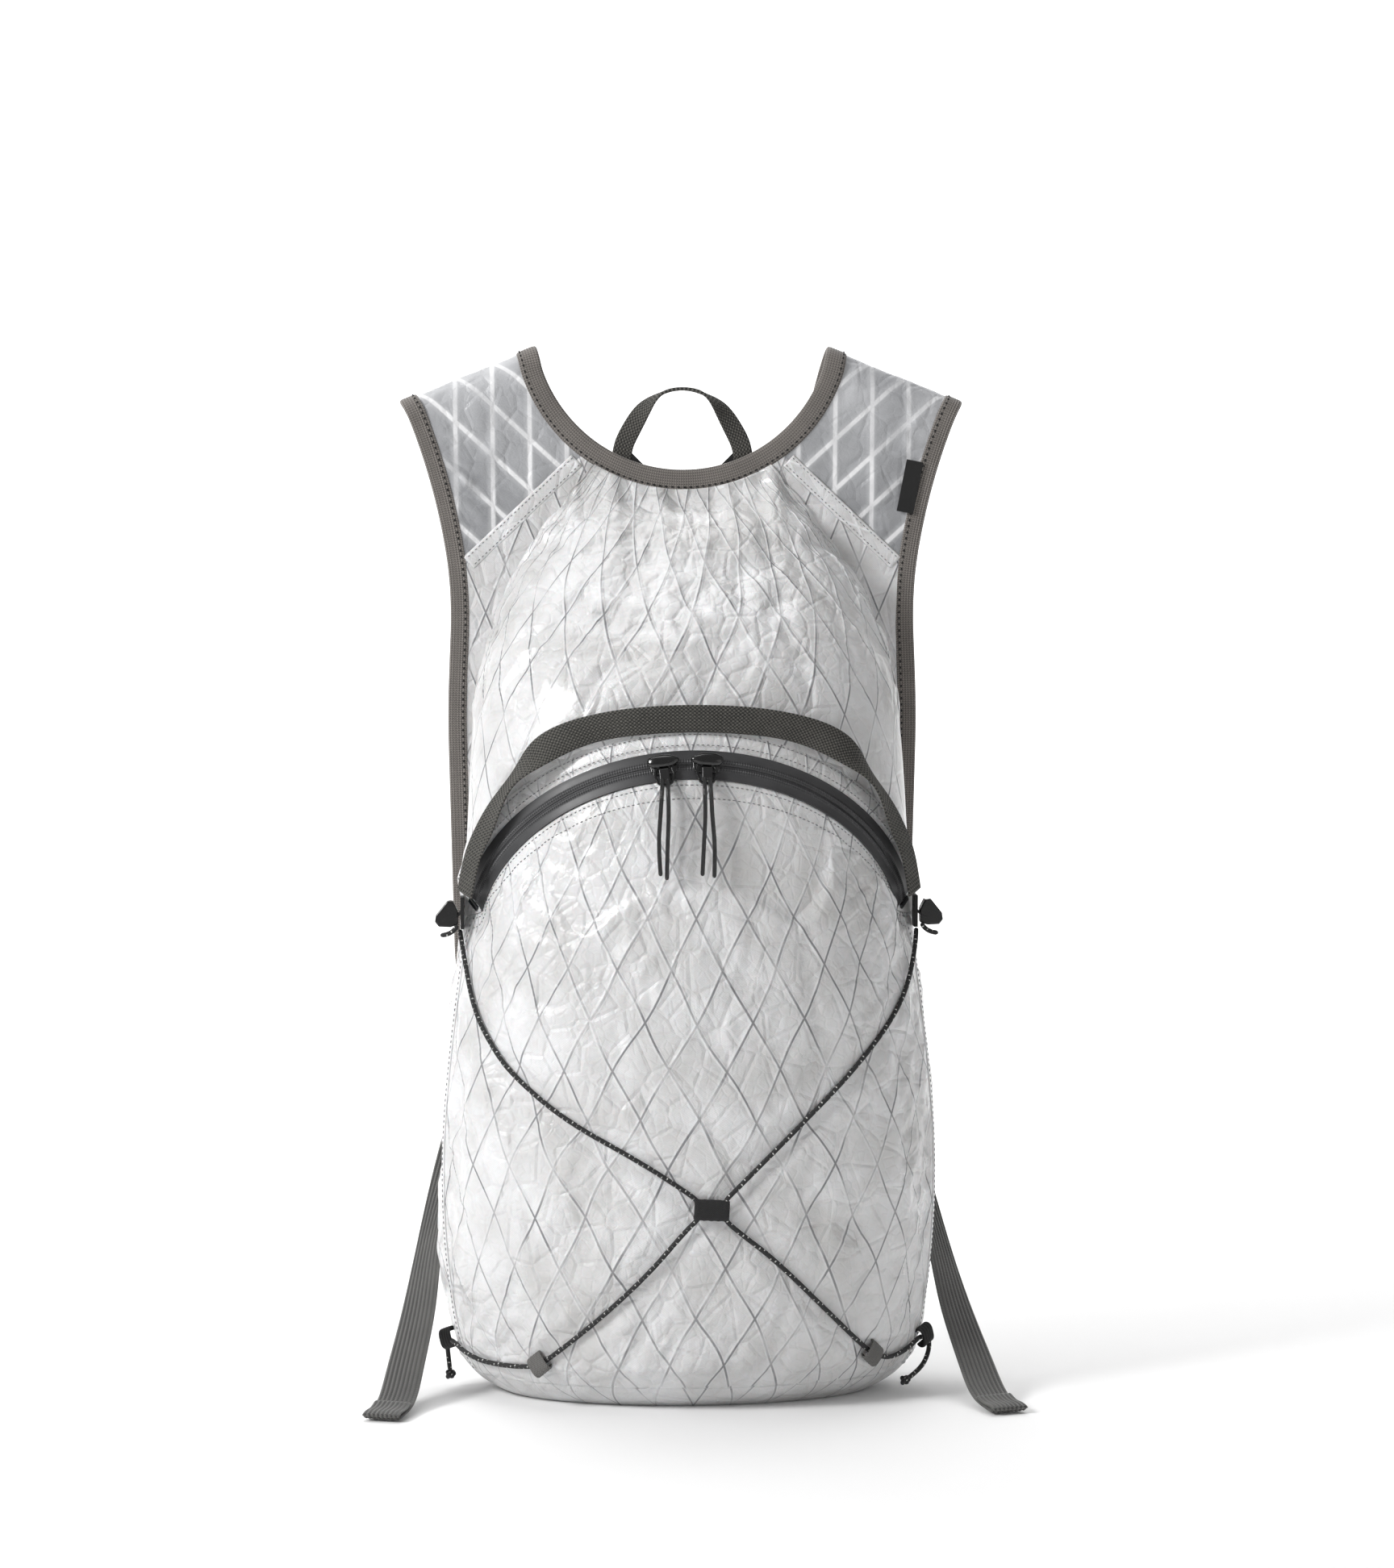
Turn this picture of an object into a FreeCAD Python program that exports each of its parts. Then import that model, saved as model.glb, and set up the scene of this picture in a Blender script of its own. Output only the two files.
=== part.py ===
"""Vest-style ultralight daypack, standing on its base.

+X is to the right as seen from the zipped front, the front faces -Y, +Z is up, millimetres.
The origin is the middle of the flat patch that the bag stands on.
"""
import FreeCAD, Part
import math
import os
import Sketcher
from FreeCAD import Placement, Rotation, Vector

doc = FreeCAD.newDocument("daypack")
NODES = []

# ------------------------------------------------------------------ driving dimensions
SIZES = (
    # the main compartment: half width, half depth and middle of its oval section at each height
    ("half_width_0", 96), ("half_depth_0", 52), ("middle_0", 0), ("height_0", 0),
    ("half_width_1", 115), ("half_depth_1", 69), ("middle_1", 0), ("height_1", 13),
    ("half_width_2", 127), ("half_depth_2", 82), ("middle_2", 0), ("height_2", 52),
    ("half_width_3", 131), ("half_depth_3", 88), ("middle_3", 0), ("height_3", 130),
    ("half_width_4", 123), ("half_depth_4", 88), ("middle_4", 0), ("height_4", 212),
    ("half_width_5", 116.5), ("half_depth_5", 85), ("middle_5", 1), ("height_5", 270),
    ("half_width_6", 113), ("half_depth_6", 78), ("middle_6", 6), ("height_6", 333),
    ("half_width_7", 105), ("half_depth_7", 66), ("middle_7", 25), ("height_7", 394),
    ("half_width_8", 84), ("half_depth_8", 38), ("middle_8", 43), ("height_8", 440),
    ("half_width_9", 47), ("half_depth_9", 8), ("middle_9", 45), ("height_9", 487),
    ("panel_thickness", 1.2), ("base_seam_height", 12), ("side_seam_plane", -18),
    # the flat back panel and the vest outline
    ("back_plane", 45), ("back_thickness", 2), ("neck_radius", 79), ("neck_height", 563),
    ("neck_tape", 11.5), ("armhole_tape", 10), ("binding_thickness", 3.2),
    ("shoulder_height", 547), ("shoulder_inset", 84), ("shoulder_slope", 22.2), ("fold_radius", 9),
    ("strap_thickness", 2), ("strap_end_height", 232), ("armhole_end_height", 205),
    # the zipper arch: a circle in a plane that leans forward
    ("zip_radius", 114), ("zip_lean", 36), ("zip_middle_y", -5), ("zip_middle_z", 240.8),
    ("zip_half_angle", 78), ("tape_cone", 60), ("tape_width", 15.6), ("tape_thickness", 0.9),
    ("tape_slit", 1.2), ("coil_radius", 0.8), ("gusset_strip", 10),
    ("slider_offset", 5.4), ("slider_meeting", 2.6),
    ("ring_thickness", 1.2), ("ring_wire", 1.5),
    # cords and webbing
    ("pull_cord", 2.2), ("shock_cord", 2.5), ("handle_webbing", 15), ("haul_webbing", 10.5),
    ("tail_webbing", 20), ("webbing_thickness", 1.6),
)

sheet = doc.addObject("Spreadsheet::Sheet", "sizes")
for row, (alias, value) in enumerate(SIZES, start=1):
    sheet.set(f"A{row}", alias)
    sheet.set(f"B{row}", str(value))
    sheet.setAlias(f"B{row}", alias)
doc.recompute()


def size(alias):
    return float(sheet.get(alias))


# ------------------------------------------------------------------ shared ways of building
def node(thing, label):
    """Names a finished sub-part and puts it on the list that is written out."""
    thing.Label = label
    NODES.append(thing)
    return thing


def box(name, low, high, place=None):
    thing = doc.addObject("Part::Box", name)
    thing.Length, thing.Width, thing.Height = [b - a for a, b in zip(low, high)]
    thing.Placement = (place or Placement()) * Placement(Vector(*low), Rotation())
    return thing


def common(name, *things):
    result = doc.addObject("Part::MultiCommon", name)
    result.Shapes = list(things)
    return result


def fuse(name, *things):
    result = doc.addObject("Part::MultiFuse", name)
    result.Shapes = list(things)
    return result


def cut(name, base, tool):
    result = doc.addObject("Part::Cut", name)
    result.Base = base
    result.Tool = tool
    return result


def extrude(name, face, direction, length):
    """A straight extrusion of a face, its length a number or a sheet expression."""
    base = doc.addObject("Part::Feature", name + "_outline")
    base.Shape = face
    result = doc.addObject("Part::Extrusion", name)
    result.Base = base
    result.DirMode = "Custom"
    result.Dir = Vector(*direction)
    result.Solid = True
    result.setExpression("LengthFwd", str(length))
    return result


def body(label):
    return doc.addObject("PartDesign::Body", label)


def sketch_on(owner, plane):
    sketch = owner.newObject("Sketcher::SketchObject", owner.Name + "_sketch")
    support = [f for f in owner.Origin.OriginFeatures if f.Role == plane][0]
    sketch.AttachmentSupport = [(support, "")]
    sketch.MapMode = "FlatFace"
    return sketch


def polygon(owner, plane, points):
    """A closed sketch whose corners are held by distances; a corner may be a sheet expression."""
    sketch = sketch_on(owner, plane)
    values = [
        [sketch.evalExpression(c) if isinstance(c, str) else c for c in point] for point in points
    ]
    corners = [Vector(float(a), float(b), 0) for a, b in values]
    count = len(corners)
    for i, corner in enumerate(corners):
        sketch.addGeometry(Part.LineSegment(corner, corners[(i + 1) % count]))
    for i in range(count):
        sketch.addConstraint(Sketcher.Constraint("Coincident", i, 2, (i + 1) % count, 1))
    for i, (corner, point) in enumerate(zip(corners, points)):
        for kind, value, source in zip(("DistanceX", "DistanceY"), corner, point):
            held = sketch.addConstraint(Sketcher.Constraint(kind, -1, 1, i, 1, value))
            if isinstance(source, str):
                sketch.setExpression(f"Constraints[{held}]", source)
    return sketch


def pad(owner, sketch, length):
    """A pad the same distance to both sides of its sketch."""
    feature = owner.newObject("PartDesign::Pad", owner.Name + "_pad")
    feature.Profile = sketch
    feature.SideType = "Symmetric"
    feature.setExpression("Length", str(length))
    return feature


def pocket(owner, sketch, length):
    """A pocket the same distance to both sides of its sketch."""
    feature = owner.newObject("PartDesign::Pocket", owner.Name + "_pocket")
    feature.Profile = sketch
    feature.SideType = "Symmetric"
    feature.setExpression("Length", str(length))
    return feature


def fillet_all(owner, base, radius):
    doc.recompute()
    feature = owner.newObject("PartDesign::Fillet", owner.Name + "_fillet")
    feature.Base = (base, ["Edge1"])
    feature.UseAllEdges = True
    feature.Radius = radius
    return feature


def slab(label, plane, points, length, place=None, rounding=0):
    """A body that is one symmetric pad of a polygon, with its edges rounded if asked."""
    owner = body(label)
    feature = pad(owner, polygon(owner, plane, points), length)
    if rounding:
        fillet_all(owner, feature, rounding)
    owner.Placement = place or Placement()
    return owner


def block(label, x, y, z, place=None, rounding=0):
    """A slab between two values on each axis, padded along Z."""
    outline = [(x[0], y[0]), (x[1], y[0]), (x[1], y[1]), (x[0], y[1])]
    middle = Placement(Vector(0, 0, (z[0] + z[1]) / 2), Rotation())
    return slab(label, "XY_Plane", outline, z[1] - z[0], (place or Placement()) * middle, rounding)


def arc(a, b, c):
    return Part.Arc(Vector(*a), Vector(*b), Vector(*c)).toShape()


def line(a, b):
    return Part.LineSegment(Vector(*a), Vector(*b)).toShape()


def mirrored(name, source):
    """The same piece on the other side of the bag."""
    result = doc.addObject("Part::Mirroring", name)
    result.Source = source
    result.Normal = Vector(1, 0, 0)
    return result


# ------------------------------------------------------------------ places on the zipper arch
ZIP_PLACE = Placement(
    Vector(0, size("zip_middle_y"), size("zip_middle_z")),
    Rotation(Vector(1, 0, 0), 90 + size("zip_lean")),
)


def turned(angle):
    return Placement(Vector(), Rotation(Vector(0, 0, 1), angle))


def on_tape(angle):
    """X runs along the tape, Y across it towards the top, Z out of it; positive angles go left."""
    out = Placement(Vector(0, size("zip_radius"), 0), Rotation(Vector(1, 0, 0), -size("tape_cone")))
    return ZIP_PLACE * turned(angle) * out


def zip_band(label, across, out, half_angle="sizes.zip_half_angle"):
    """A band that follows the arch. across and out are (low, high) expressions on the tape."""
    owner = body(label)
    corners = [(across[0], out[0]), (across[1], out[0]), (across[1], out[1]), (across[0], out[1])]
    outline = [
        (
            f"sizes.zip_radius + ({w}) * cos(sizes.tape_cone) + ({n}) * sin(sizes.tape_cone)",
            f"({n}) * cos(sizes.tape_cone) - ({w}) * sin(sizes.tape_cone)",
        )
        for w, n in corners
    ]
    sketch = polygon(owner, "XZ_Plane", outline)
    turn = owner.newObject("PartDesign::Revolution", owner.Name + "_turn")
    turn.Profile = sketch
    turn.ReferenceAxis = (sketch, ["V_Axis"])
    turn.setExpression("Angle", f"2 * {half_angle}")
    turn.Midplane = True
    owner.Placement = ZIP_PLACE * turned(90)
    return owner


# ------------------------------------------------------------------ main compartment shell
STATIONS = 10
FAR = 400
BEYOND_BACK = 1.5


def compartment():
    """The stuffed bag's curved wall, open behind: arcs of ovals from one back edge to the other."""
    rings = []
    for i in range(STATIONS):
        ring = doc.addObject("Part::Ellipse", f"wall_ring_{i}")
        reach = f"asin((sizes.back_plane + {BEYOND_BACK} - sizes.middle_{i}) / sizes.half_depth_{i})"
        ring.setExpression("MajorRadius", f"sizes.half_width_{i}")
        ring.setExpression("MinorRadius", f"sizes.half_depth_{i}")
        ring.setExpression("Angle1", f"180 deg - {reach}")
        ring.setExpression("Angle2", f"360 deg + {reach}")
        ring.setExpression("Placement.Base.y", f"sizes.middle_{i}")
        ring.setExpression("Placement.Base.z", f"sizes.height_{i}")
        rings.append(ring)
    loft = doc.addObject("Part::Loft", "wall_surface")
    loft.Sections = rings
    loft.Solid = False
    wall = doc.addObject("Part::Offset", "wall")
    wall.Source = loft
    wall.setExpression("Value", "-sizes.panel_thickness")
    wall.Fill = True
    return wall


def floor_plate():
    """The flat patch that the bag stands on, joined to the foot of the wall."""
    oval = doc.addObject("Part::Ellipse", "floor_oval")
    oval.setExpression("MajorRadius", "sizes.half_width_0 + 0.4")
    oval.setExpression("MinorRadius", "sizes.half_depth_0 + 0.4")
    plate = doc.addObject("Part::Extrusion", "floor_plate")
    plate.Base = oval
    plate.DirMode = "Custom"
    plate.Dir = Vector(0, 0, 1)
    plate.Solid = True
    plate.setExpression("LengthFwd", "sizes.panel_thickness")
    return plate


wall = compartment()
in_front_of_back = box("in_front_of_back", (-FAR, -FAR, -10), (FAR, size("back_plane"), 700))
above_base = box("above_base", (-FAR, -FAR, size("base_seam_height")), (FAR, FAR, 700))
below_base = box("below_base", (-FAR, -FAR, -10), (FAR, FAR, size("base_seam_height")))
zip_front = box("zip_front", (-FAR, -FAR, 0), (FAR, FAR, FAR), ZIP_PLACE)
zip_behind = box("zip_behind", (-FAR, -FAR, -FAR), (FAR, FAR, 0), ZIP_PLACE)
seam = size("side_seam_plane")
front_of_seam = box("front_of_seam", (-FAR, -FAR, -10), (FAR, seam, 700))
left_of_seam = box("left_of_seam", (-FAR, seam, -10), (0, FAR, 700))
right_of_seam = box("right_of_seam", (0, seam, -10), (FAR, FAR, 700))

room_angle = "(sizes.zip_half_angle + 3)"
tape_edges = ("-sizes.tape_width / 2", "sizes.tape_width / 2")
tape_room = zip_band("tape_room", tape_edges, ("-16", "16"), room_angle)
strip_room = zip_band(
    "strip_room",
    ("sizes.tape_width / 2", "sizes.tape_width / 2 + sizes.gusset_strip"),
    ("-16", "16"),
    room_angle,
)

neck_room = doc.addObject("Part::Cylinder", "neck_room")
neck_room.setExpression("Radius", "sizes.neck_radius + sizes.neck_tape")
neck_room.Height = 2 * FAR
neck_room.Placement = Placement(
    Vector(0, FAR, size("neck_height")), Rotation(Vector(1, 0, 0), 90)
)

skin = common("skin", wall, in_front_of_back, above_base)
below_zip = cut("below_zip", common("below_zip_part", skin, zip_front), tape_room)
above_zip = cut("above_zip", common("above_zip_part", skin, zip_behind), tape_room)

node(common("front_panel", below_zip, front_of_seam), "front_panel")
node(common("side_panel_left", below_zip, left_of_seam), "side_panel_left")
node(common("side_panel_right", below_zip, right_of_seam), "side_panel_right")
base_dish = fuse("base_dish", common("wall_foot", wall, below_base), floor_plate())
node(common("base_panel", base_dish, in_front_of_back), "base_panel")
node(common("gusset_strip", above_zip, strip_room), "gusset_strip")
bare_upper = cut("bare_upper", above_zip, strip_room)
node(cut("upper_panel", bare_upper, neck_room), "upper_panel")

# ------------------------------------------------------------------ back panel, yokes, bindings
SLOPE = math.tan(math.radians(size("shoulder_slope")))


def shoulder_z(x, drop=0):
    """Height of the sloping shoulder line at a distance x from the middle."""
    return size("shoulder_height") - (abs(x) - size("shoulder_inset")) * SLOPE - drop


def armhole_edges(side):
    """The flared edge beside the arm: an arc above a nearly straight run, from the top down."""
    return [
        arc((side * 158, 0, 540), (side * 131, 0, 465), (side * 122, 0, 395)),
        line((side * 122, 0, 395), (side * 117, 0, 200)),
    ]


def torso_face():
    """The vest outline down to its rounded lower corners, taller than the shoulders."""
    low, corner = 3, 60
    sides = {}
    for side in (-1, 1):
        sides[side] = armhole_edges(side) + [
            line((side * 117, 0, 200), (side * 111, 0, corner)),
            arc((side * 111, 0, corner), (side * 100, 0, 20), (side * 70, 0, low)),
        ]
    top = [
        line((158, 0, 540), (158, 0, 565)),
        line((158, 0, 565), (-158, 0, 565)),
        line((-158, 0, 565), (-158, 0, 540)),
    ]
    bottom = [line((70, 0, low), (-70, 0, low))]
    edges = sides[1] + bottom + sides[-1] + top
    return Part.Face(Part.Wire(Part.__sortEdges__(edges)))


def under_shoulders(drop):
    """Everything below the two sloping shoulder lines."""
    points = [(-200, 0, 0), (200, 0, 0)]
    for x in (200, 77, -77, -200):
        points.append((x, 0, shoulder_z(x, drop)))
    vectors = [Vector(*p) for p in points]
    return Part.Face(Part.makePolygon(vectors + vectors[:1]))


def band_face(edges, width):
    """A flat band of the given width to one side of an open line."""
    return Part.Wire(edges).makeOffset2D(width, 0, True, True)


def upright(name, face, low_y, high_y):
    """A face in the XZ plane extruded between two planes along Y."""
    return extrude(name, face.translated(Vector(0, low_y, 0)), (0, 1, 0), high_y - low_y)


back = size("back_plane")
thick = size("back_thickness")
proud = (size("binding_thickness") - thick) / 2
drop = size("fold_radius")

vest = common(
    "vest",
    upright("torso", torso_face(), back, back + thick),
    upright("shoulders", under_shoulders(drop), back, back + thick),
)
vest_thick = common(
    "vest_thick",
    upright("torso_thick", torso_face(), back - proud, back + thick + proud),
    upright("shoulders_thick", under_shoulders(drop), back - proud, back + thick + proud),
)

neck_hole = doc.addObject("Part::Cylinder", "neck_hole")
neck_hole.setExpression("Radius", "sizes.neck_radius")
neck_hole.Height = 2 * FAR
neck_hole.Placement = neck_room.Placement
neck_disc = common("neck_disc", vest_thick, neck_room)
node(cut("neck_binding", neck_disc, neck_hole), "neck_binding")

armhole_stop = box(
    "armhole_stop", (-FAR, -FAR, size("armhole_end_height")), (FAR, FAR, 700)
)
armhole_tools = []
for side, word in ((-1, "left"), (1, "right")):
    width = -size("armhole_tape") * side
    band = upright(f"armhole_band_{word}", band_face(armhole_edges(side), width), 0, 120)
    armhole_tools.append(common(f"armhole_tool_{word}", band, armhole_stop))
    node(common(f"armhole_binding_{word}", vest_thick, armhole_tools[-1]), f"armhole_binding_{word}")

inside_tapes = cut("inside_tapes", vest, fuse("tape_tools", neck_room, *armhole_tools))

yoke_tools = []
for side, word in ((-1, "left"), (1, "right")):
    corners = ((44, 494), (123, 428), (220, 428), (220, 600), (44, 600))
    vectors = [Vector(side * x, 0, z) for x, z in corners]
    face = Part.Face(Part.makePolygon(vectors + vectors[:1]))
    yoke_tools.append(upright(f"yoke_area_{word}", face, 30, 60))
    node(common(f"yoke_{word}", inside_tapes, yoke_tools[-1]), f"yoke_{word}")
node(cut("back_panel", inside_tapes, fuse("yoke_areas", *yoke_tools)), "back_panel")


# ------------------------------------------------------------------ shoulder straps behind
def strap_sheet(name, thickness):
    """The strap's side profile: it folds over the shoulder and hangs bowed behind the back."""
    x = 58
    top = shoulder_z(x)
    r = drop
    near = back + thick / 2
    edges = [
        arc((x, near, top - r), (x, near + r, top), (x, near + 2 * r, top - r)),
        arc((x, near + 2 * r, top - r), (x, near + 34, 400), (x, near + 24, 180)),
    ]
    inside = Part.Wire(edges).makeOffset2D(-thickness / 2, 0, False, True)
    face = inside.makeOffset2D(thickness, 0, True, True)
    return extrude(name, face, (1, 0, -SLOPE), 110 / math.cos(math.radians(size("shoulder_slope"))))


def strap_inner_edges():
    """From the neck over the shoulder line, round the nape and down towards the ribs."""
    low = size("strap_end_height")
    return [
        arc((80, 0, 556), (66, 0, 500), (60, 0, 440)),
        arc((60, 0, 440), (62, 0, 340), (76, 0, low)),
    ]


def strap_outer_edges():
    low = size("strap_end_height")
    return [
        arc((158, 0, 532), (130, 0, 480), (117, 0, 400)),
        arc((117, 0, 400), (112, 0, 310), (110, 0, low)),
    ]


def strap_face():
    edges = strap_inner_edges() + strap_outer_edges()
    edges += [line((80, 0, 556), (80, 0, 570)), line((80, 0, 570), (158, 0, 570))]
    low = size("strap_end_height")
    edges += [line((158, 0, 570), (158, 0, 532)), line((76, 0, low), (110, 0, low))]
    return Part.Face(Part.Wire(Part.__sortEdges__(edges)))


thin_sheet = strap_sheet("strap_thin", size("strap_thickness"))
thick_sheet = strap_sheet("strap_thick", size("binding_thickness"))
strap_area = upright("strap_area", strap_face(), back - 8, 130)
inner_band = upright(
    "strap_inner_band", band_face(strap_inner_edges(), size("neck_tape")), back - 8, 130
)
outer_band = upright(
    "strap_outer_band", band_face(strap_outer_edges(), -size("armhole_tape")), back - 8, 130
)
strap_middle = cut(
    "strap_middle",
    common("strap_whole", thin_sheet, strap_area),
    fuse("strap_bands", inner_band, outer_band),
)
strap_inner_tape = common("strap_inner_tape", thick_sheet, inner_band)
strap_outer_tape = common("strap_outer_tape", thick_sheet, outer_band, strap_area)
for label, right_piece in (
    ("shoulder_strap", strap_middle),
    ("strap_inner_binding", strap_inner_tape),
    ("strap_outer_binding", strap_outer_tape),
):
    node(right_piece, f"{label}_right")
    node(mirrored(f"{label}_left", right_piece), f"{label}_left")

# ------------------------------------------------------------------ zipper
half_tape = "sizes.tape_width / 2"
half_slit = "sizes.tape_slit / 2"
out_of_tape = ("-sizes.tape_thickness / 2", "sizes.tape_thickness / 2")
node(zip_band("zipper_tape_upper", (half_slit, half_tape), out_of_tape), "zipper_tape_upper")
node(
    zip_band("zipper_tape_lower", ("-" + half_tape, "-" + half_slit), out_of_tape),
    "zipper_tape_lower",
)
coil_out = ("-sizes.tape_thickness / 2 - 2 * sizes.coil_radius", "-sizes.tape_thickness / 2")
coil_far = f"{half_slit} + 2 * sizes.coil_radius"
node(zip_band("zipper_coil_upper", (half_slit, coil_far), coil_out), "zipper_coil_upper")
node(
    zip_band("zipper_coil_lower", (f"-({coil_far})", f"-({half_slit})"), coil_out),
    "zipper_coil_lower",
)

stops = []
for side in (-1, 1):
    place = on_tape(side * (size("zip_half_angle") + 1.3))
    stops.append(block(f"zip_stop_{side + 1}", (-1.4, 1.4), (-4, 4), (-1.2, 1.2), place, 0.3))
node(fuse("zipper_end_stops", *stops), "zipper_end_stops")


def slider(label, angle):
    """Plates above and below the tapes, a post in their slit, and a hooked cap on top."""
    place = on_tape(angle)
    top = block(label + "_top", (-7, 7), (-4.5, 4.5), (0.9, 2), place, 0.3)
    post = block(label + "_post", (-2, 2), (-0.24, 0.24), (-3.2, 1.2), place)
    under = block(label + "_under", (-6.5, 6.5), (-4.2, 4.2), (-3.8, -2.6), place, 0.3)
    hood = block(label + "_hood", (-7.5, 7.5), (-1.6, 3.2), (1.8, 6), place, 1.2)
    groove = block(label + "_groove", (-6.2, 6.2), (-4, 0.2), (1.7, 4.9), place)
    cap = cut(label + "_cap", hood, groove)
    return node(fuse(label, top, post, under, cap), label)


def pull_ring(label, angle):
    """A D-shaped ring whose bar turns in the groove under the cap."""
    owner = body(label)
    wide, low = 5.7, -10.4
    outline = [(-5, 0.7), (5, 0.7), (wide, -4), (4, -9), (2, low), (-2, low), (-4, -9), (-wide, -4)]
    feature = pad(owner, polygon(owner, "XY_Plane", outline), "sizes.ring_thickness")
    wire = size("ring_wire")
    window = [(-5 + wire, -0.7), (5 - wire, -0.7), (wide - wire, -4), (3, -8), (1.4, low + wire)]
    window += [(-x, y) for x, y in reversed(window)]
    hole = pocket(owner, polygon(owner, "XY_Plane", window), 6)
    fillet_all(owner, hole, 0.35)
    owner.Placement = on_tape(angle) * Placement(Vector(0, -1.4, 3.4), Rotation())
    return node(owner, label)


def pull_knot(label, angle):
    """The lark's head that holds the two cord tails in the ring's window."""
    place = on_tape(angle) * Placement(Vector(0, -1.4, 3.4), Rotation())
    return node(block(label, (-2.6, 2.6), (-7.6, -1.4), (-0.6, 2.2), place, 0.6), label)


SLIDERS = {
    "left": size("slider_meeting") + size("slider_offset"),
    "right": size("slider_meeting") - size("slider_offset"),
}
for word, angle in SLIDERS.items():
    slider(f"slider_{word}", angle)
    pull_ring(f"pull_ring_{word}", angle)
    pull_knot(f"pull_knot_{word}", angle)


# ------------------------------------------------------------------ webbing
def ribbon(label, stations, width, thickness, mirror=1):
    """Flat webbing through stations of (place, direction of its width), twisting as they say."""
    places = [Vector(mirror * p[0], p[1], p[2]) for p, _ in stations]
    sections = []
    for i, (_, across) in enumerate(stations):
        along = places[min(i + 1, len(places) - 1)] - places[max(i - 1, 0)]
        along.normalize()
        side = Vector(mirror * across[0], across[1], across[2])
        side = side - along * side.dot(along)
        side.normalize()
        face = along.cross(side)
        half = side * (width / 2)
        up = face * (thickness / 2)
        corners = [places[i] + half + up, places[i] - half + up]
        corners += [places[i] - half - up, places[i] + half - up]
        sections.append(Part.makePolygon(corners + corners[:1]))
    piece = doc.addObject("Part::Feature", label + "_webbing")
    piece.Shape = Part.makeLoft(sections, True, False)
    return piece


def both_ways(half):
    """Stations from the left end to the right one, from those between the middle and the right."""
    left = [((-p[0], p[1], p[2]), (-w[0], w[1], w[2])) for p, w in reversed(half[1:])]
    return left + list(half)


webbing = size("webbing_thickness")
HANDLE_HALF = (
    ((0, -69.5, 356.5), (0, -0.3, 0.95)),
    ((30, -68, 355), (0, -0.3, 0.95)),
    ((56, -63, 350), (0.15, -0.25, 0.95)),
    ((78, -56, 339.5), (0.4, 0.0, 0.9)),
    ((91.8, -48.2, 325.5), (0.4, 0.5, 0.7)),
    ((101.2, -41.5, 310), (0.45, 0.8, 0.3)),
)
HANDLE_END = (
    ((101.6, -38.9, 305.9), (0.45, 0.8, 0.3)),
    ((105, -35, 298), (0.45, 0.85, 0.2)),
    ((109.3, -30.5, 286), (0.45, 0.85, 0.1)),
    ((111.8, -27.5, 276), (0.45, 0.85, 0.1)),
)
node(ribbon("front_handle", both_ways(HANDLE_HALF), size("handle_webbing"), webbing), "front_handle")
for side, word in ((-1, "left"), (1, "right")):
    end = ribbon(f"handle_end_{word}", HANDLE_END, size("handle_webbing"), webbing, side)
    node(end, f"handle_end_{word}")

haul_y = back + thick + proud + 1.2
HAUL_HALF = (
    ((0, haul_y, 527), (0, 1, 0)),
    ((10, haul_y, 525), (0.25, 0.95, -0.1)),
    ((20, haul_y, 517), (0.8, 0.6, 0)),
    ((27, haul_y, 506), (1, 0.2, 0.2)),
    ((31.5, haul_y, 495.6), (1, 0, 0.3)),
)


node(ribbon("haul_loop", both_ways(HAUL_HALF), size("haul_webbing"), webbing), "haul_loop")
node(
    slab(
        "haul_loop_base",
        "XZ_Plane",
        [(-38, 493), (-27, 493), (-18, 484), (18, 484), (27, 493), (38, 493), (33, 476), (-33, 476)],
        webbing,
        Placement(Vector(0, haul_y, 0), Rotation()),
    ),
    "haul_loop_base",
)

TAIL = (
    ((95, 79, 181), (1, 0, 0)),
    ((97, 79, 173), (1, 0, 0.1)),
    ((106, 76.5, 153), (1, 0.1, 0.3)),
    ((121, 64, 120), (0.9, 0.45, 0.2)),
    ((135, 35, 76), (0.6, 0.8, 0)),
    ((142, -4, 42), (0.8, 0.6, 0)),
    ((149, -40, 17), (0.95, 0.3, 0)),
    ((154, -64, 4.5), (1, 0.2, 0)),
    ((160, -84, 1.6), (1, 0.3, 0)),
)
LOWER_STRAP = (
    ((105, 49.2, 52), (1, 0, 0)),
    ((104.5, 51, 72), (1, 0, 0)),
    ((99, 62, 130), (1, 0, 0.1)),
    ((94, 74, 187), (1, 0, 0.1)),
)
STRAP_X = 93
STRAP_Y = 77.6
for side, word in ((-1, "left"), (1, "right")):
    tail = ribbon(f"strap_tail_{word}", TAIL, size("tail_webbing"), webbing, side)
    node(tail, f"strap_tail_{word}")
    lower = ribbon(f"lower_webbing_{word}", LOWER_STRAP, size("tail_webbing"), webbing, side)
    node(lower, f"lower_webbing_{word}")
    x = side * STRAP_X
    tab = block(f"lock_tab_{word}", (x - 10, x + 10), (STRAP_Y - 0.8, STRAP_Y + 0.8), (215.6, 231.4))
    node(tab, f"lock_tab_{word}")


def ladder_lock(label, x):
    """A ladder lock: a rounded frame with two slots and a thumb lip at its lower edge."""
    owner = body(label)
    frame = [(-13, -22), (13, -22), (13, 2), (-13, 2)]
    pad(owner, polygon(owner, "XZ_Plane", frame), 4)
    for low, high in ((-7.5, -3), (-17, -12)):
        slot = [(-10.5, low), (10.5, low), (10.5, high), (-10.5, high)]
        last = pocket(owner, polygon(owner, "XZ_Plane", slot), 12)
    fillet_all(owner, last, 0.7)
    owner.Placement = Placement(Vector(x, STRAP_Y, 212), Rotation())
    return node(owner, label)


for side, word in ((-1, "left"), (1, "right")):
    ladder_lock(f"ladder_lock_{word}", side * STRAP_X)


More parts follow.
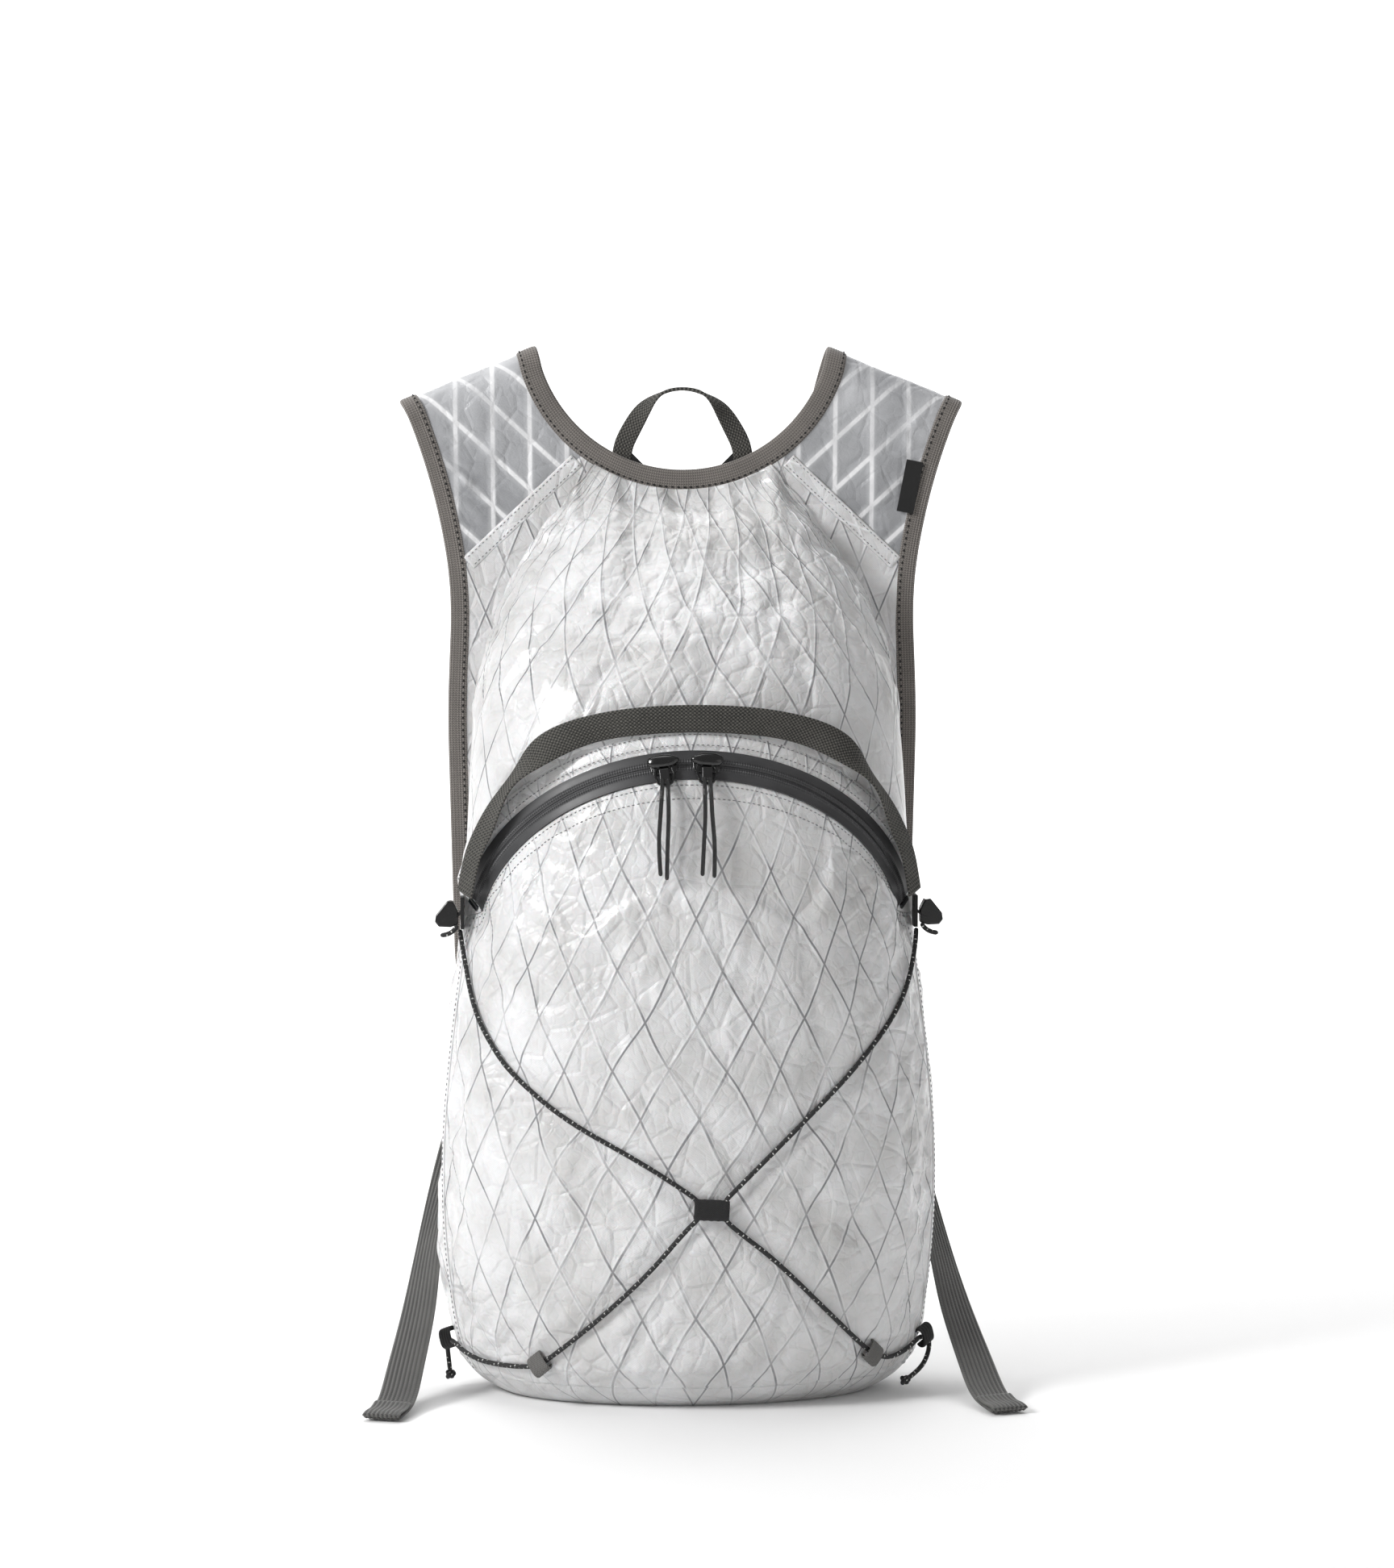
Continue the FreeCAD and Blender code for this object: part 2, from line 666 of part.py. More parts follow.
# ------------------------------------------------------------------ cords
def rounded_path(points):
    """Straight runs joined by tangent arcs, each as large as 0.45 of its shorter run allows."""
    corners = [Vector(*p) for p in points]
    edges = []
    start = corners[0]
    radii = []
    for before, here, after in zip(corners, corners[1:], corners[2:]):
        back_way = before - here
        on_way = after - here
        shorter = min(back_way.Length, on_way.Length)
        back_way.normalize()
        on_way.normalize()
        turn = math.pi - back_way.getAngle(on_way)
        reach = 0.45 * shorter
        radius = reach / math.tan(turn / 2)
        radii.append(radius)
        centre_way = back_way + on_way
        centre_way.normalize()
        centre = here + centre_way * (radius / math.cos(turn / 2))
        first = here + back_way * reach
        last = here + on_way * reach
        middle = centre - centre_way * radius
        edges.append(Part.LineSegment(start, first).toShape())
        edges.append(Part.Arc(first, middle, last).toShape())
        start = last
    edges.append(Part.LineSegment(start, corners[-1]).toShape())
    return Part.Wire(edges), radii


def tube_shape(points, diameter):
    path, radii = rounded_path(points)
    along = path.Edges[0].tangentAt(path.Edges[0].FirstParameter)
    profile = Part.Wire(Part.makeCircle(diameter / 2, Vector(*points[0]), along))
    solid = path.makePipeShell([profile], True, False)
    expected = math.pi * diameter**2 / 4 * path.Length
    return solid, path.Length, min(radii), solid.Volume / expected


def tube(label, points, diameter):
    """A cord along a route, with its length, tightest bend and volume told."""
    piece = doc.addObject("Part::Feature", label + "_cord")
    piece.Shape, length, tightest, ratio = tube_shape(points, diameter)
    print(f"{label}: length {length:.1f} tightest radius {tightest:.1f} volume ratio {ratio:.4f}")
    return piece


def channel(name, points, diameter):
    """The room that a cord needs in a piece which it passes through."""
    piece = doc.addObject("Part::Feature", name + "_channel")
    piece.Shape = tube_shape(points, diameter + 0.5)[0]
    return piece


SHOCK_ROUTES = {
    "left": [
        (-119.4, -17.5, 243.5), (-117.6, -27, 232), (-112.6, -41.5, 205), (-103, -54.9, 187),
        (-93, -63.9, 174), (-67.4, -78.4, 153), (-29, -88.8, 132.5), (-6, -90.6, 117.5),
        (1.2, -91.1, 112), (1.2, -91.1, 104), (-5.5, -90.3, 98), (-24.7, -86.7, 74.7),
        (-50.2, -77.9, 49.5), (-74.5, -62.9, 27.5), (-82.5, -57.2, 21.5), (-105.6, -37.4, 20.3),
        (-117.5, -24.5, 23.5), (-124.5, -9, 28), (-127, 1, 25.5), (-126.3, 3.5, 17),
        (-125.5, 3, 10),
    ],
    "right": [
        (118.6, -20, 243.5), (117.4, -27.8, 232), (107.9, -47.9, 206), (82.1, -71.2, 177),
        (52, -84.1, 149), (20, -90.4, 118.5), (13.2, -91.1, 112), (13.2, -91.1, 104),
        (19, -90.1, 98), (39.3, -85, 81.8), (64.8, -74.5, 55.6), (87.4, -57.7, 31.5),
        (94.5, -50.4, 25.5), (103, -41.5, 21.6), (114, -30.2, 24.5), (121.5, -21.5, 30),
        (127, -16, 26.5), (125.5, -19, 18.5), (120.5, -26, 12.5), (114, -32.5, 9.5),
    ],
}
SPARE_END = [(121.4, -24.4, 246.5), (123.6, -24.6, 243), (128.5, -24.2, 242.4)]
KEEPER = ((-2.6, 17), (-93.4, -88.8), (102.8, 113.2))
ANCHORS = {
    "left": ((-129.8, -122.7), (-9, 1), (22.5, 33.5)),
    "right": ((120.4, 127.6), (-23.5, -13.5), (24, 35)),
}
LOOPS = {
    "left": ((-79.5, -59.2, 24.2), 36),
    "right": ((92.9, -52.7, 26.8), -42),
}

channels = {}
cord_size = size("shock_cord")
for word, route in SHOCK_ROUTES.items():
    side = -1 if word == "left" else 1
    spare = [(side * x, y, z) for x, y, z in SPARE_END]
    main = tube(f"shock_cord_{word}", route, cord_size)
    spare_end = tube(f"spare_end_{word}", spare, cord_size)
    node(fuse(f"whole_cord_{word}", main, spare_end), f"shock_cord_{word}")
    channels[word] = channel(f"shock_cord_{word}", route, cord_size)
    end, before = Vector(*route[-1]), Vector(*route[-2])
    knot = doc.addObject("Part::Sphere", f"cord_knot_{word}")
    knot.Radius = 3
    knot.Placement = Placement(end + (end - before).normalize() * 3, Rotation())
    node(knot, f"cord_knot_{word}")


def sewn_on(name, piece, room=None):
    """A small piece that lies against the wall without reaching into it, or into a cord's room."""
    tool = fuse(name + "_room", wall, room) if room else wall
    return cut(name, piece, tool)


both_channels = fuse("both_channels", channels["left"], channels["right"])
keeper = cut("cord_keeper", block("keeper_tab", *KEEPER, rounding=1.2), both_channels)
node(keeper, "cord_keeper")
for word in ("left", "right"):
    anchor = block(f"anchor_block_{word}", *ANCHORS[word], rounding=1.2)
    node(sewn_on(f"anchor_{word}", anchor, channels[word]), f"corner_anchor_{word}")
    place, turn = LOOPS[word]
    loop_place = Placement(Vector(*place), Rotation(Vector(0, 0, 1), -turn))
    tab = block(f"loop_block_{word}", (-5, 5), (-2.6, 1.6), (-5.5, 5.5), loop_place, 0.6)
    node(sewn_on(f"loop_{word}", tab, channels[word]), f"cord_loop_{word}")

# the adjusters at the top corners: a wedge that tilts on its sewn tab, and the cord's spare end
ADJUSTER_X = 120.5
ADJUSTER_Y = -17.5
ADJUSTER_Z = 251
WEDGE = [(0, -3.5), (0, 3.5), (2.5, 8.5), (5.5, 9), (11.5, 1.5), (12, -2), (10, -4.5), (4, -4.8)]
for side, word in ((-1, "left"), (1, "right")):
    place = Placement(Vector(side * ADJUSTER_X, ADJUSTER_Y, ADJUSTER_Z), Rotation())
    outline = [(side * x, z) for x, z in WEDGE]
    node(slab(f"cord_adjuster_{word}", "XZ_Plane", outline, 9, place, 0.8), f"cord_adjuster_{word}")
    x_span = sorted((side * 117.2, side * 119.2))
    tab = block(f"adjuster_tab_block_{word}", x_span, (-23, -12), (245.2, 262), rounding=0.4)
    node(sewn_on(f"adjuster_tab_trimmed_{word}", tab), f"adjuster_tab_{word}")

# the four cord tails of the zipper pulls, two under each ring
PULL_ROUTES = {
    "left_outer": [
        (-17, -79.9, 325.6), (-17.6, -84.2, 319.5), (-18.4, -85.2, 308), (-19.6, -87.6, 293),
        (-18.6, -90, 279),
    ],
    "left_inner": [
        (-14.4, -79.9, 325.6), (-14.4, -84.2, 319.5), (-14.2, -85.3, 307), (-15, -87.9, 291.5),
        (-15.4, -90.2, 277),
    ],
    "right_inner": [
        (4.3, -80.5, 326.4), (4.1, -84.8, 320.3), (4.4, -85.7, 308), (3.4, -87.8, 293),
        (2.6, -90.1, 279),
    ],
    "right_outer": [
        (6.9, -80.5, 326.4), (7.3, -84.8, 320.3), (7.8, -85.8, 307.5), (9.2, -88, 292),
        (8.6, -90.2, 278),
    ],
}
for word, route in PULL_ROUTES.items():
    node(tube(f"pull_cord_{word}", route, size("pull_cord")), f"pull_cord_{word}")

tilted = Placement(Vector(121.4, 43.4, 475), Rotation(Vector(0, 1, 0), 11))
node(block("label_tab", (-4.5, 4.5), (-0.5, 0.5), (-14, 14), tilted), "label_tab")

# ------------------------------------------------------------------ finish
doc.recompute()
failed = [o.Name for o in doc.Objects if {"Invalid", "Error"} & set(o.State)]
if failed:
    raise SystemExit("failed objects: " + ", ".join(failed))
for thing in NODES:
    if thing.Shape.isNull() or not thing.Shape.isValid():
        raise SystemExit("bad shape: " + thing.Label)

os.makedirs("parts", exist_ok=True)
for thing in NODES:
    thing.Shape.exportStep(f"parts/{thing.Label}.step")
    solids = len(thing.Shape.Solids)
    bounds = thing.Shape.BoundBox
    print(
        f"{thing.Label:26s} solids {solids} volume {thing.Shape.Volume / 1000:8.3f} cm3  "
        f"x {bounds.XMin:7.1f} {bounds.XMax:7.1f}  y {bounds.YMin:7.1f} {bounds.YMax:7.1f}  "
        f"z {bounds.ZMin:7.1f} {bounds.ZMax:7.1f}"
    )
print(len(NODES), "nodes")
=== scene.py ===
"""Looks for the vest-style daypack: fabric panels, tapes, webbing, cords and stage.

The frame is the CAD's: +X right, -Y front, +Z up.
"""
import cmath
import math

import bpy
import numpy as np
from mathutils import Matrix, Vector, noise


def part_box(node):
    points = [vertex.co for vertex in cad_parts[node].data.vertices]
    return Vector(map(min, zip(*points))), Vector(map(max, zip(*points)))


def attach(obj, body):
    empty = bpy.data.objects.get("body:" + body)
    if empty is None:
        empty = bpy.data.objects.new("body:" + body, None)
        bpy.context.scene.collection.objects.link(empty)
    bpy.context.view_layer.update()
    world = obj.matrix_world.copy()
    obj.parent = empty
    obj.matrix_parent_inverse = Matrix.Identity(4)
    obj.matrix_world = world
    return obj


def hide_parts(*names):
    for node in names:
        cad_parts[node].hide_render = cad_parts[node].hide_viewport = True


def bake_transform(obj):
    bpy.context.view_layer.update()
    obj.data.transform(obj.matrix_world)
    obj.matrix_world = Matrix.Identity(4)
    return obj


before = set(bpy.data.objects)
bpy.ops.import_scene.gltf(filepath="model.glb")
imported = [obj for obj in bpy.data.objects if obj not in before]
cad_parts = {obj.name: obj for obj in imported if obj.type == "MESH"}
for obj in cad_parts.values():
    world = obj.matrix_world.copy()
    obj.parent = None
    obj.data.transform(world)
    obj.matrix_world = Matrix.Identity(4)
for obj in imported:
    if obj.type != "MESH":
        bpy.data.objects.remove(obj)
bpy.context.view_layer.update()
MM = 0.001
SIDES = ((-1, "left"), (1, "right"))


# ---------- numbers on curves
def smoothstep(low, high, x):
    t = np.clip((np.asarray(x, float) - low) / (high - low), 0, 1)
    return t * t * (3 - 2 * t)


def unit(v):
    v = np.asarray(v, float)
    return v / np.maximum(np.linalg.norm(v, axis=-1, keepdims=True), 1e-9)


def join(*parts):
    """Coordinates joined into points, each part spread over the whole grid."""
    return np.stack(np.broadcast_arrays(*parts), axis=-1)


def lengths(points):
    """Distance along a line of points, from its first one."""
    steps = np.linalg.norm(np.diff(points, axis=0), axis=1)
    return np.concatenate([[0], np.cumsum(steps)])


def sample(data, along, at):
    """Rows of data known at some distances, read at other distances."""
    return np.stack([np.interp(at, along, column) for column in data.T], axis=-1)


def evenly(line, count):
    """A line at even distances; columns after the third are carried with it."""
    along = lengths(line[:, :3])
    return sample(line, along, np.linspace(0, along[-1], count))


def spline(points, count):
    """A natural cubic spline through the points, sampled at even distances."""
    p = np.asarray(points, float)
    s = lengths(p[:, :3])
    n = len(p)
    h = np.diff(s)
    m = np.zeros((n, n))
    r = np.zeros_like(p)
    m[0, 0] = m[-1, -1] = 1
    for i in range(1, n - 1):
        m[i, i - 1 : i + 2] = h[i - 1], 2 * (h[i - 1] + h[i]), h[i]
        r[i] = 6 * ((p[i + 1] - p[i]) / h[i] - (p[i] - p[i - 1]) / h[i - 1])
    bend = np.linalg.solve(m, r)
    fine = np.linspace(0, s[-1], 40 * n)
    k = np.clip(np.searchsorted(s, fine, side="right") - 1, 0, n - 2)
    a = ((s[k + 1] - fine) / h[k])[:, None]
    b = 1 - a
    curve = a * p[k] + b * p[k + 1]
    curve += ((a**3 - a) * bend[k] + (b**3 - b) * bend[k + 1]) * (h[k] ** 2)[:, None] / 6
    return evenly(curve, count)


def three_point_arc(a, b, c, count):
    """Points on the circle through three points of a plane."""
    a, b, c = (complex(*point) for point in (a, b, c))
    ratio = (c - a) / (b - a)
    middle = a + (b - a) * (ratio - abs(ratio) ** 2) / (2j * ratio.imag)
    first, mid, last = (cmath.phase(point - middle) for point in (a, b, c))
    turn = (last - first) % (2 * math.pi)
    if (mid - first) % (2 * math.pi) > turn:
        turn -= 2 * math.pi
    arc = middle + abs(a - middle) * np.exp(1j * (first + np.linspace(0, turn, count)))
    return join(arc.real, arc.imag)


def close_in(low, high, is_low):
    """The places between low and high where a test turns from true to false."""
    for _ in range(40):
        middle = (low + high) / 2
        below = is_low(middle)
        low, high = np.where(below, middle, low), np.where(below, high, middle)
    return (low + high) / 2


def film(points, scale, offset):
    """Smooth noise at points, with a scale for all directions or one for each."""
    steps = points.reshape(-1, 3) / np.asarray(scale, float)
    values = [noise.noise(Vector(step) + Vector(offset)) for step in steps]
    return np.reshape(values, points.shape[:-1])


# ---------- meshes
SLOTS = {
    "white_laminate": "laminate_white", "hem_laminate": "laminate_white",
    "seam_thread": "laminate_white", "grey_laminate": "laminate_grey",
    "binding_tape": "binding_tape", "dark_thread": "binding_tape",
    "tail_webbing": "webbing_grey", "handle_webbing": "webbing_dark",
    "black_tape": "black_tape", "grey_tape": "grey_tape", "coated_zip_tape": "zip_laminate",
    "gloss_black_plastic": "gloss_black", "pull_cord": "pull_cord", "braided_cord": "shock_cord",
}


def link(name, data):
    obj = bpy.data.objects.new(name, data)
    bpy.context.collection.objects.link(obj)
    return obj


def finish_mesh(name, verts, faces, uvs, material):
    """A smooth mesh with its millimetre grid and its material, whose name must be a key of SLOTS."""
    mesh = bpy.data.meshes.new(name)
    mesh.from_pydata((np.reshape(verts, (-1, 3)) * MM).tolist(), [], faces)
    layer = mesh.uv_layers.new(name="mm")
    corners = np.empty(len(mesh.loops), int)
    mesh.loops.foreach_get("vertex_index", corners)
    layer.data.foreach_set("uv", np.reshape(uvs, (-1, 2))[corners].ravel())
    mesh.polygons.foreach_set("use_smooth", [True] * len(mesh.polygons))
    mesh.materials.append(material)
    mesh.update()
    obj = link(name, mesh)
    SLOTS[material.name.split(".")[0]]
    return obj


def place(piece, body, *nodes):
    """Lets a piece ride a body and stand for the CAD pieces it is a finer shape of."""
    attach(piece, body)
    if nodes:
        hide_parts(*nodes)


def grid_faces(rows, cols, closed=False):
    i = np.arange(rows * cols).reshape(rows, cols)
    if closed:
        i = np.concatenate([i, i[:, :1]], axis=1)
    quads = np.stack([i[:-1, :-1], i[:-1, 1:], i[1:, 1:], i[1:, :-1]], axis=-1)
    return quads.reshape(-1, 4).tolist()


def grid_normals(points):
    """Unit normals of a grid of points, out of the side from which columns run to the right."""
    return unit(np.cross(np.gradient(points, axis=1), np.gradient(points, axis=0)))


def panel(name, points, uvs, thickness, material):
    """A sheet of fabric: a grid of points with a back face and closed edges."""
    rows, cols, _ = points.shape
    back = points - grid_normals(points) * thickness
    n = rows * cols
    faces = grid_faces(rows, cols)
    faces += [[n + i for i in reversed(face)] for face in grid_faces(rows, cols)]
    i = np.arange(n).reshape(rows, cols)
    rim = np.concatenate([i[0], i[1:, -1], i[-1, -2::-1], i[-2:0:-1, 0]])
    after = np.roll(rim, -1)
    faces += np.stack([after, rim, rim + n, after + n], axis=1).tolist()
    return finish_mesh(name, [points, back], faces, [uvs, uvs], material)


def loft(name, rings, uvs, material, inside_out=False):
    """A solid through rings of points, with flat ends."""
    rows, cols = len(rings), len(rings[0])
    faces = grid_faces(rows, cols, closed=True)
    faces.append(list(range(cols))[::-1])
    faces.append(list(range((rows - 1) * cols, rows * cols)))
    if inside_out:
        faces = [face[::-1] for face in faces]
    return finish_mesh(name, rings, faces, uvs, material)


def section(width, thickness, ribs=0, rib_height=0.0, crown=0.0, steps=None):
    """A flat rounded outline with lengthwise ribs: (across, out) pairs, once round."""
    w = np.linspace(-1, 1, (steps or max(10, ribs * 6)) + 1)
    w = np.sign(w) * np.abs(w) ** 0.96
    edge = (1 - np.abs(w) ** 7) ** 0.5
    half = edge * (thickness / 2 + crown * (1 - w * w))
    if ribs:
        half = half + edge * rib_height * np.cos(math.pi * ribs * w) * (-1) ** (ribs + 1)
    return np.concatenate([join(w * width / 2, half), join(w * width / 2, -half)[-2:0:-1]])


def frames(centre, hint):
    """Across and out vectors along a line, from a hint of which way its width runs."""
    along = unit(np.gradient(centre, axis=0))
    across = unit(hint - along * np.sum(hint * along, axis=1, keepdims=True))
    return across, unit(np.cross(along, across))


def sweep(name, centre, across, out, outline, material):
    """A flat strip: an outline carried along a line."""
    shifts = across[:, None] * outline[None, :, :1] + out[:, None] * outline[None, :, 1:]
    uvs = join(outline[None, :, 0], lengths(centre)[:, None])
    return loft(name, centre[:, None] + shifts, uvs, material, inside_out=True)


def nurbs_line(points):
    """The line of an order-3 NURBS spline whose control points are the cord's route."""
    data = bpy.data.curves.new("route", "CURVE")
    data.dimensions = "3D"
    data.resolution_u = 14
    curve = data.splines.new("NURBS")
    curve.points.add(len(points) - 1)
    for point, co in zip(curve.points, points):
        point.co = (co[0] * MM, co[1] * MM, co[2] * MM, 1)
    curve.order_u = 3
    curve.use_endpoint_u = True
    obj = link("route", data)
    bpy.context.view_layer.update()
    mesh = bpy.data.meshes.new_from_object(obj)
    line = np.array([v.co for v in mesh.vertices]) / MM
    bpy.data.objects.remove(obj)
    bpy.data.meshes.remove(mesh)
    return line


def tube(name, line, diameter, material, sides=12, step=0.8):
    """A round cord along a line, with rounded ends; returned with its middle line."""
    along = lengths(line)
    count = max(8, int(along[-1] / step))
    stops = np.linspace(0, along[-1], count)
    centre = sample(line, along, stops)
    tangent = unit(np.gradient(centre, axis=0))
    side = np.empty_like(centre)
    side[0] = unit(np.cross(tangent[0], (0.3, 0.2, 0.93)))
    for i in range(1, count):
        side[i] = unit(side[i - 1] - tangent[i] * np.dot(side[i - 1], tangent[i]))
    other = np.cross(tangent, side)
    r = diameter / 2
    cap = [(r * math.sqrt(1 - size * size), size) for size in (1, 0.75, 0.25)]
    stations = [(0, -shift, size) for shift, size in reversed(cap)]
    stations += [(i, 0, 1) for i in range(1, count - 1)]
    stations += [(count - 1, shift, size) for shift, size in cap]
    angles = np.linspace(0, 2 * math.pi, sides, endpoint=False)
    rings, uvs = [], []
    for i, shift, size in stations:
        ring = np.cos(angles)[:, None] * side[i] + np.sin(angles)[:, None] * other[i]
        rings.append(centre[i] + tangent[i] * shift + ring * r * size)
        uvs.append(join(angles * r, stops[i] + shift))
    return loft(name, rings, uvs, material), centre


STITCH = np.array([(-1, 0), (-0.6, 0.8), (0.6, 0.8), (1, 0), (0.6, -0.8), (-0.6, -0.8)])
STITCH_FACES = [[(i + 1) % 6, i, 6 + i, 6 + (i + 1) % 6] for i in range(6)]
STITCH_FACES += [list(range(11, 5, -1)), list(range(6))]


def stitches(name, line, normals, material, pitch=2.6, length=1.7, width=0.45):
    """A row of short thread stitches lying on the bag along a line."""
    along = lengths(line)
    stops = (np.arange(int(along[-1] / pitch)) + 0.5) * pitch
    tangent = unit(np.gradient(line, axis=0))
    at, way, up = (sample(data, along, stops) for data in (line, tangent, normals))
    way, up = unit(way)[:, None], unit(up)[:, None]
    flat = way * STITCH[:, :1] * length / 2 + np.cross(way, up) * STITCH[:, 1:] * width / 2
    layers = [at[:, None] + flat * size + up * lift for lift, size in ((-0.15, 1.0), (0.28, 0.62))]
    uvs = join(STITCH[:, 1] * width, stops[:, None] + STITCH[:, 0] * length / 2)
    faces = [[12 * k + i for i in face] for k in range(len(stops)) for face in STITCH_FACES]
    row = finish_mesh(name, np.stack(layers, axis=1), faces, np.stack([uvs, uvs], axis=1), material)
    place(row, "bag")


# ---------- materials
class Nodes:
    """A short way to write a node material."""

    def __init__(self, name):
        self.material = bpy.data.materials.new(name)
        self.material.use_nodes = True
        self.tree = self.material.node_tree
        self.shader = self.tree.nodes["Principled BSDF"]
        self.place = self.tree.nodes.new("ShaderNodeTexCoord").outputs["Object"]
        uv = self.tree.nodes.new("ShaderNodeUVMap")
        uv.uv_map = "mm"
        self.u, self.v, _ = self.split(uv.outputs[0])

    def put(self, socket, value):
        if isinstance(value, bpy.types.NodeSocket):
            self.tree.links.new(value, socket)
        else:
            socket.default_value = value

    def fill(self, node, **values):
        for key, value in values.items():
            self.put(node.inputs[key.replace("_", " ")], value)

    def node(self, kind, *values):
        node = self.tree.nodes.new("ShaderNode" + kind)
        for socket, value in zip(node.inputs, values):
            self.put(socket, value)
        return node

    def split(self, vector):
        return self.node("SeparateXYZ", vector).outputs

    def math(self, operation, *values):
        node = self.node("Math", *values)
        node.operation = operation
        return node.outputs[0]

    def add(self, a, b):
        return self.math("ADD", a, b)

    def less(self, a, b):
        return self.math("SUBTRACT", a, b)

    def times(self, a, b):
        return self.math("MULTIPLY", a, b)

    def scaled(self, a, scale, shift):
        return self.math("MULTIPLY_ADD", a, scale, shift)

    def noise(self, scale, detail=3.0, rough=0.5):
        node = self.node("TexNoise", self.place)
        self.fill(node, Scale=scale, Detail=detail, Roughness=rough)
        return node.outputs[0]

    def cells(self, scale):
        """Distance to the nearest edge between scattered cells."""
        node = self.node("TexVoronoi", self.place)
        node.feature = "DISTANCE_TO_EDGE"
        self.fill(node, Scale=scale)
        return node.outputs["Distance"]

    def ramp(self, value, low, high, to_low=0.0, to_high=1.0):
        return self.node("MapRange", value, low, high, to_low, to_high).outputs[0]

    def mix(self, factor, a, b):
        node = self.node("Mix")
        node.data_type = "RGBA"
        for socket, item in zip((node.inputs[0], node.inputs[6], node.inputs[7]), (factor, a, b)):
            self.put(socket, item)
        return node.outputs[2]

    def wave(self, position, pitch, phase=0.0):
        """0 to 1 along a position, once per pitch."""
        turn = self.scaled(position, 2 * math.pi / pitch, phase)
        return self.scaled(self.math("SINE", turn), 0.5, 0.5)

    def cycle(self, position, pitch):
        """How far along its pitch a position is, from 0 to 1."""
        return self.math("FRACT", self.math("DIVIDE", position, pitch))

    def lines(self, position, pitch, width):
        """1 on thin lines a pitch apart, 0 between them."""
        off = self.math("ABSOLUTE", self.less(self.cycle(position, pitch), 0.5))
        return self.ramp(off, 0.5 - width / pitch, 0.5 - width / pitch / 2)

    def diamonds(self, wide, tall, width):
        """1 on the lines of a diamond grid."""
        a, b = self.math("DIVIDE", self.u, wide), self.math("DIVIDE", self.v, tall)
        slope = width * math.hypot(1 / wide, 1 / tall)
        one = self.lines(self.add(a, b), 1.0, slope)
        return self.math("MAXIMUM", one, self.lines(self.less(a, b), 1.0, slope))

    def bumps(self, *layers):
        """A normal from layers of (height, millimetres, strength), one on another."""
        below = {}
        for height, distance, strength in layers:
            node = self.node("Bump")
            self.fill(node, Height=height, Distance=distance * MM, Strength=strength, **below)
            below = {"Normal": node.outputs[0]}
        return node.outputs[0]

    def finish(self, color, roughness, **settings):
        self.fill(self.shader, Base_Color=color, Roughness=roughness, **settings)
        return self.material


def rgb(red, *others):
    """A colour; one value alone gives a grey."""
    return (red, *(others or (red, red)), 1.0)


def laminate(name, base, shade, line, diamond, line_width, crinkle, glow=0.0, painted_shade_below=None):
    """Glossy film over a fine weave with a diamond grid of heavier yarns; optionally, painted shade
    darkens it below a given height.
    """
    n = Nodes(name)
    grid = n.diamonds(*diamond, line_width)
    core = n.diamonds(*diamond, line_width * 0.45)
    fine = n.times(n.wave(n.add(n.u, n.v), 1.15), n.wave(n.less(n.u, n.v), 1.15))
    worn = n.ramp(n.noise(85, 4, 0.6), 0.45, 0.75)
    showing = n.ramp(n.noise(33), 0.36, 0.6, 0.3, 1.0)
    ground = n.mix(n.ramp(n.noise(24, 5, 0.62), 0.36, 0.66), base, shade)
    for cover, share in ((worn, 0.35), (fine, 0.34)):
        ground = n.mix(n.times(cover, share), ground, shade)
    # painted shade: below a height in metres, with a little noise, the ground colour is pulled
    # towards a darker grey to stand in for the light falling off down the yoke
    if painted_shade_below:
        low, high, dark = painted_shade_below
        height = n.scaled(n.noise(30, 2), 0.05, n.split(n.place)[2])
        ground = n.mix(n.ramp(height, low, high, 0.75, 0.0), ground, dark)
    halo = n.mix(n.times(grid, 0.45), ground, base)
    color = n.mix(n.times(core, showing), halo, line)
    normal = n.bumps(
        (fine, 0.06, 0.5),
        (n.noise(105, 6, 0.66), 0.9, crinkle),
        (n.ramp(n.cells(62), 0.0, 0.10), 0.8, crinkle * 0.7),
        (n.ramp(n.cells(170), 0.0, 0.14), 0.25, crinkle * 0.6),
        (grid, 0.22, 0.7),
    )
    rough = n.ramp(n.noise(55, 4, 0.6), 0.3, 0.7, 0.24, 0.46)
    return n.finish(
        color, rough, Normal=normal, Coat_Weight=0.45, Coat_Roughness=0.2,
        Subsurface_Weight=glow, Subsurface_Scale=0.002,
    )


def ribbed(name, dark, light, ribs_at, knit, rough=0.8, contrast=0.55):
    """Knitted or woven tape with lengthwise ribs and a short cross rhythm."""
    n = Nodes(name)
    rib = n.wave(n.u, ribs_at, math.pi / 2)
    cross = n.wave(n.add(n.v, n.times(rib, knit * 0.35)), knit)
    shade = n.scaled(rib, contrast, n.times(cross, 0.85 - contrast))
    shade = n.add(shade, n.scaled(n.noise(45), 0.4, -0.2))
    color = n.mix(n.ramp(shade, 0.1, 0.95), dark, light)
    normal = n.bumps((cross, 0.16, 0.8), (rib, 0.22, 0.7), (n.noise(900, 3, 0.6), 0.06, 0.5))
    return n.finish(color, rough, Normal=normal, Sheen_Weight=0.25, Sheen_Roughness=0.5)


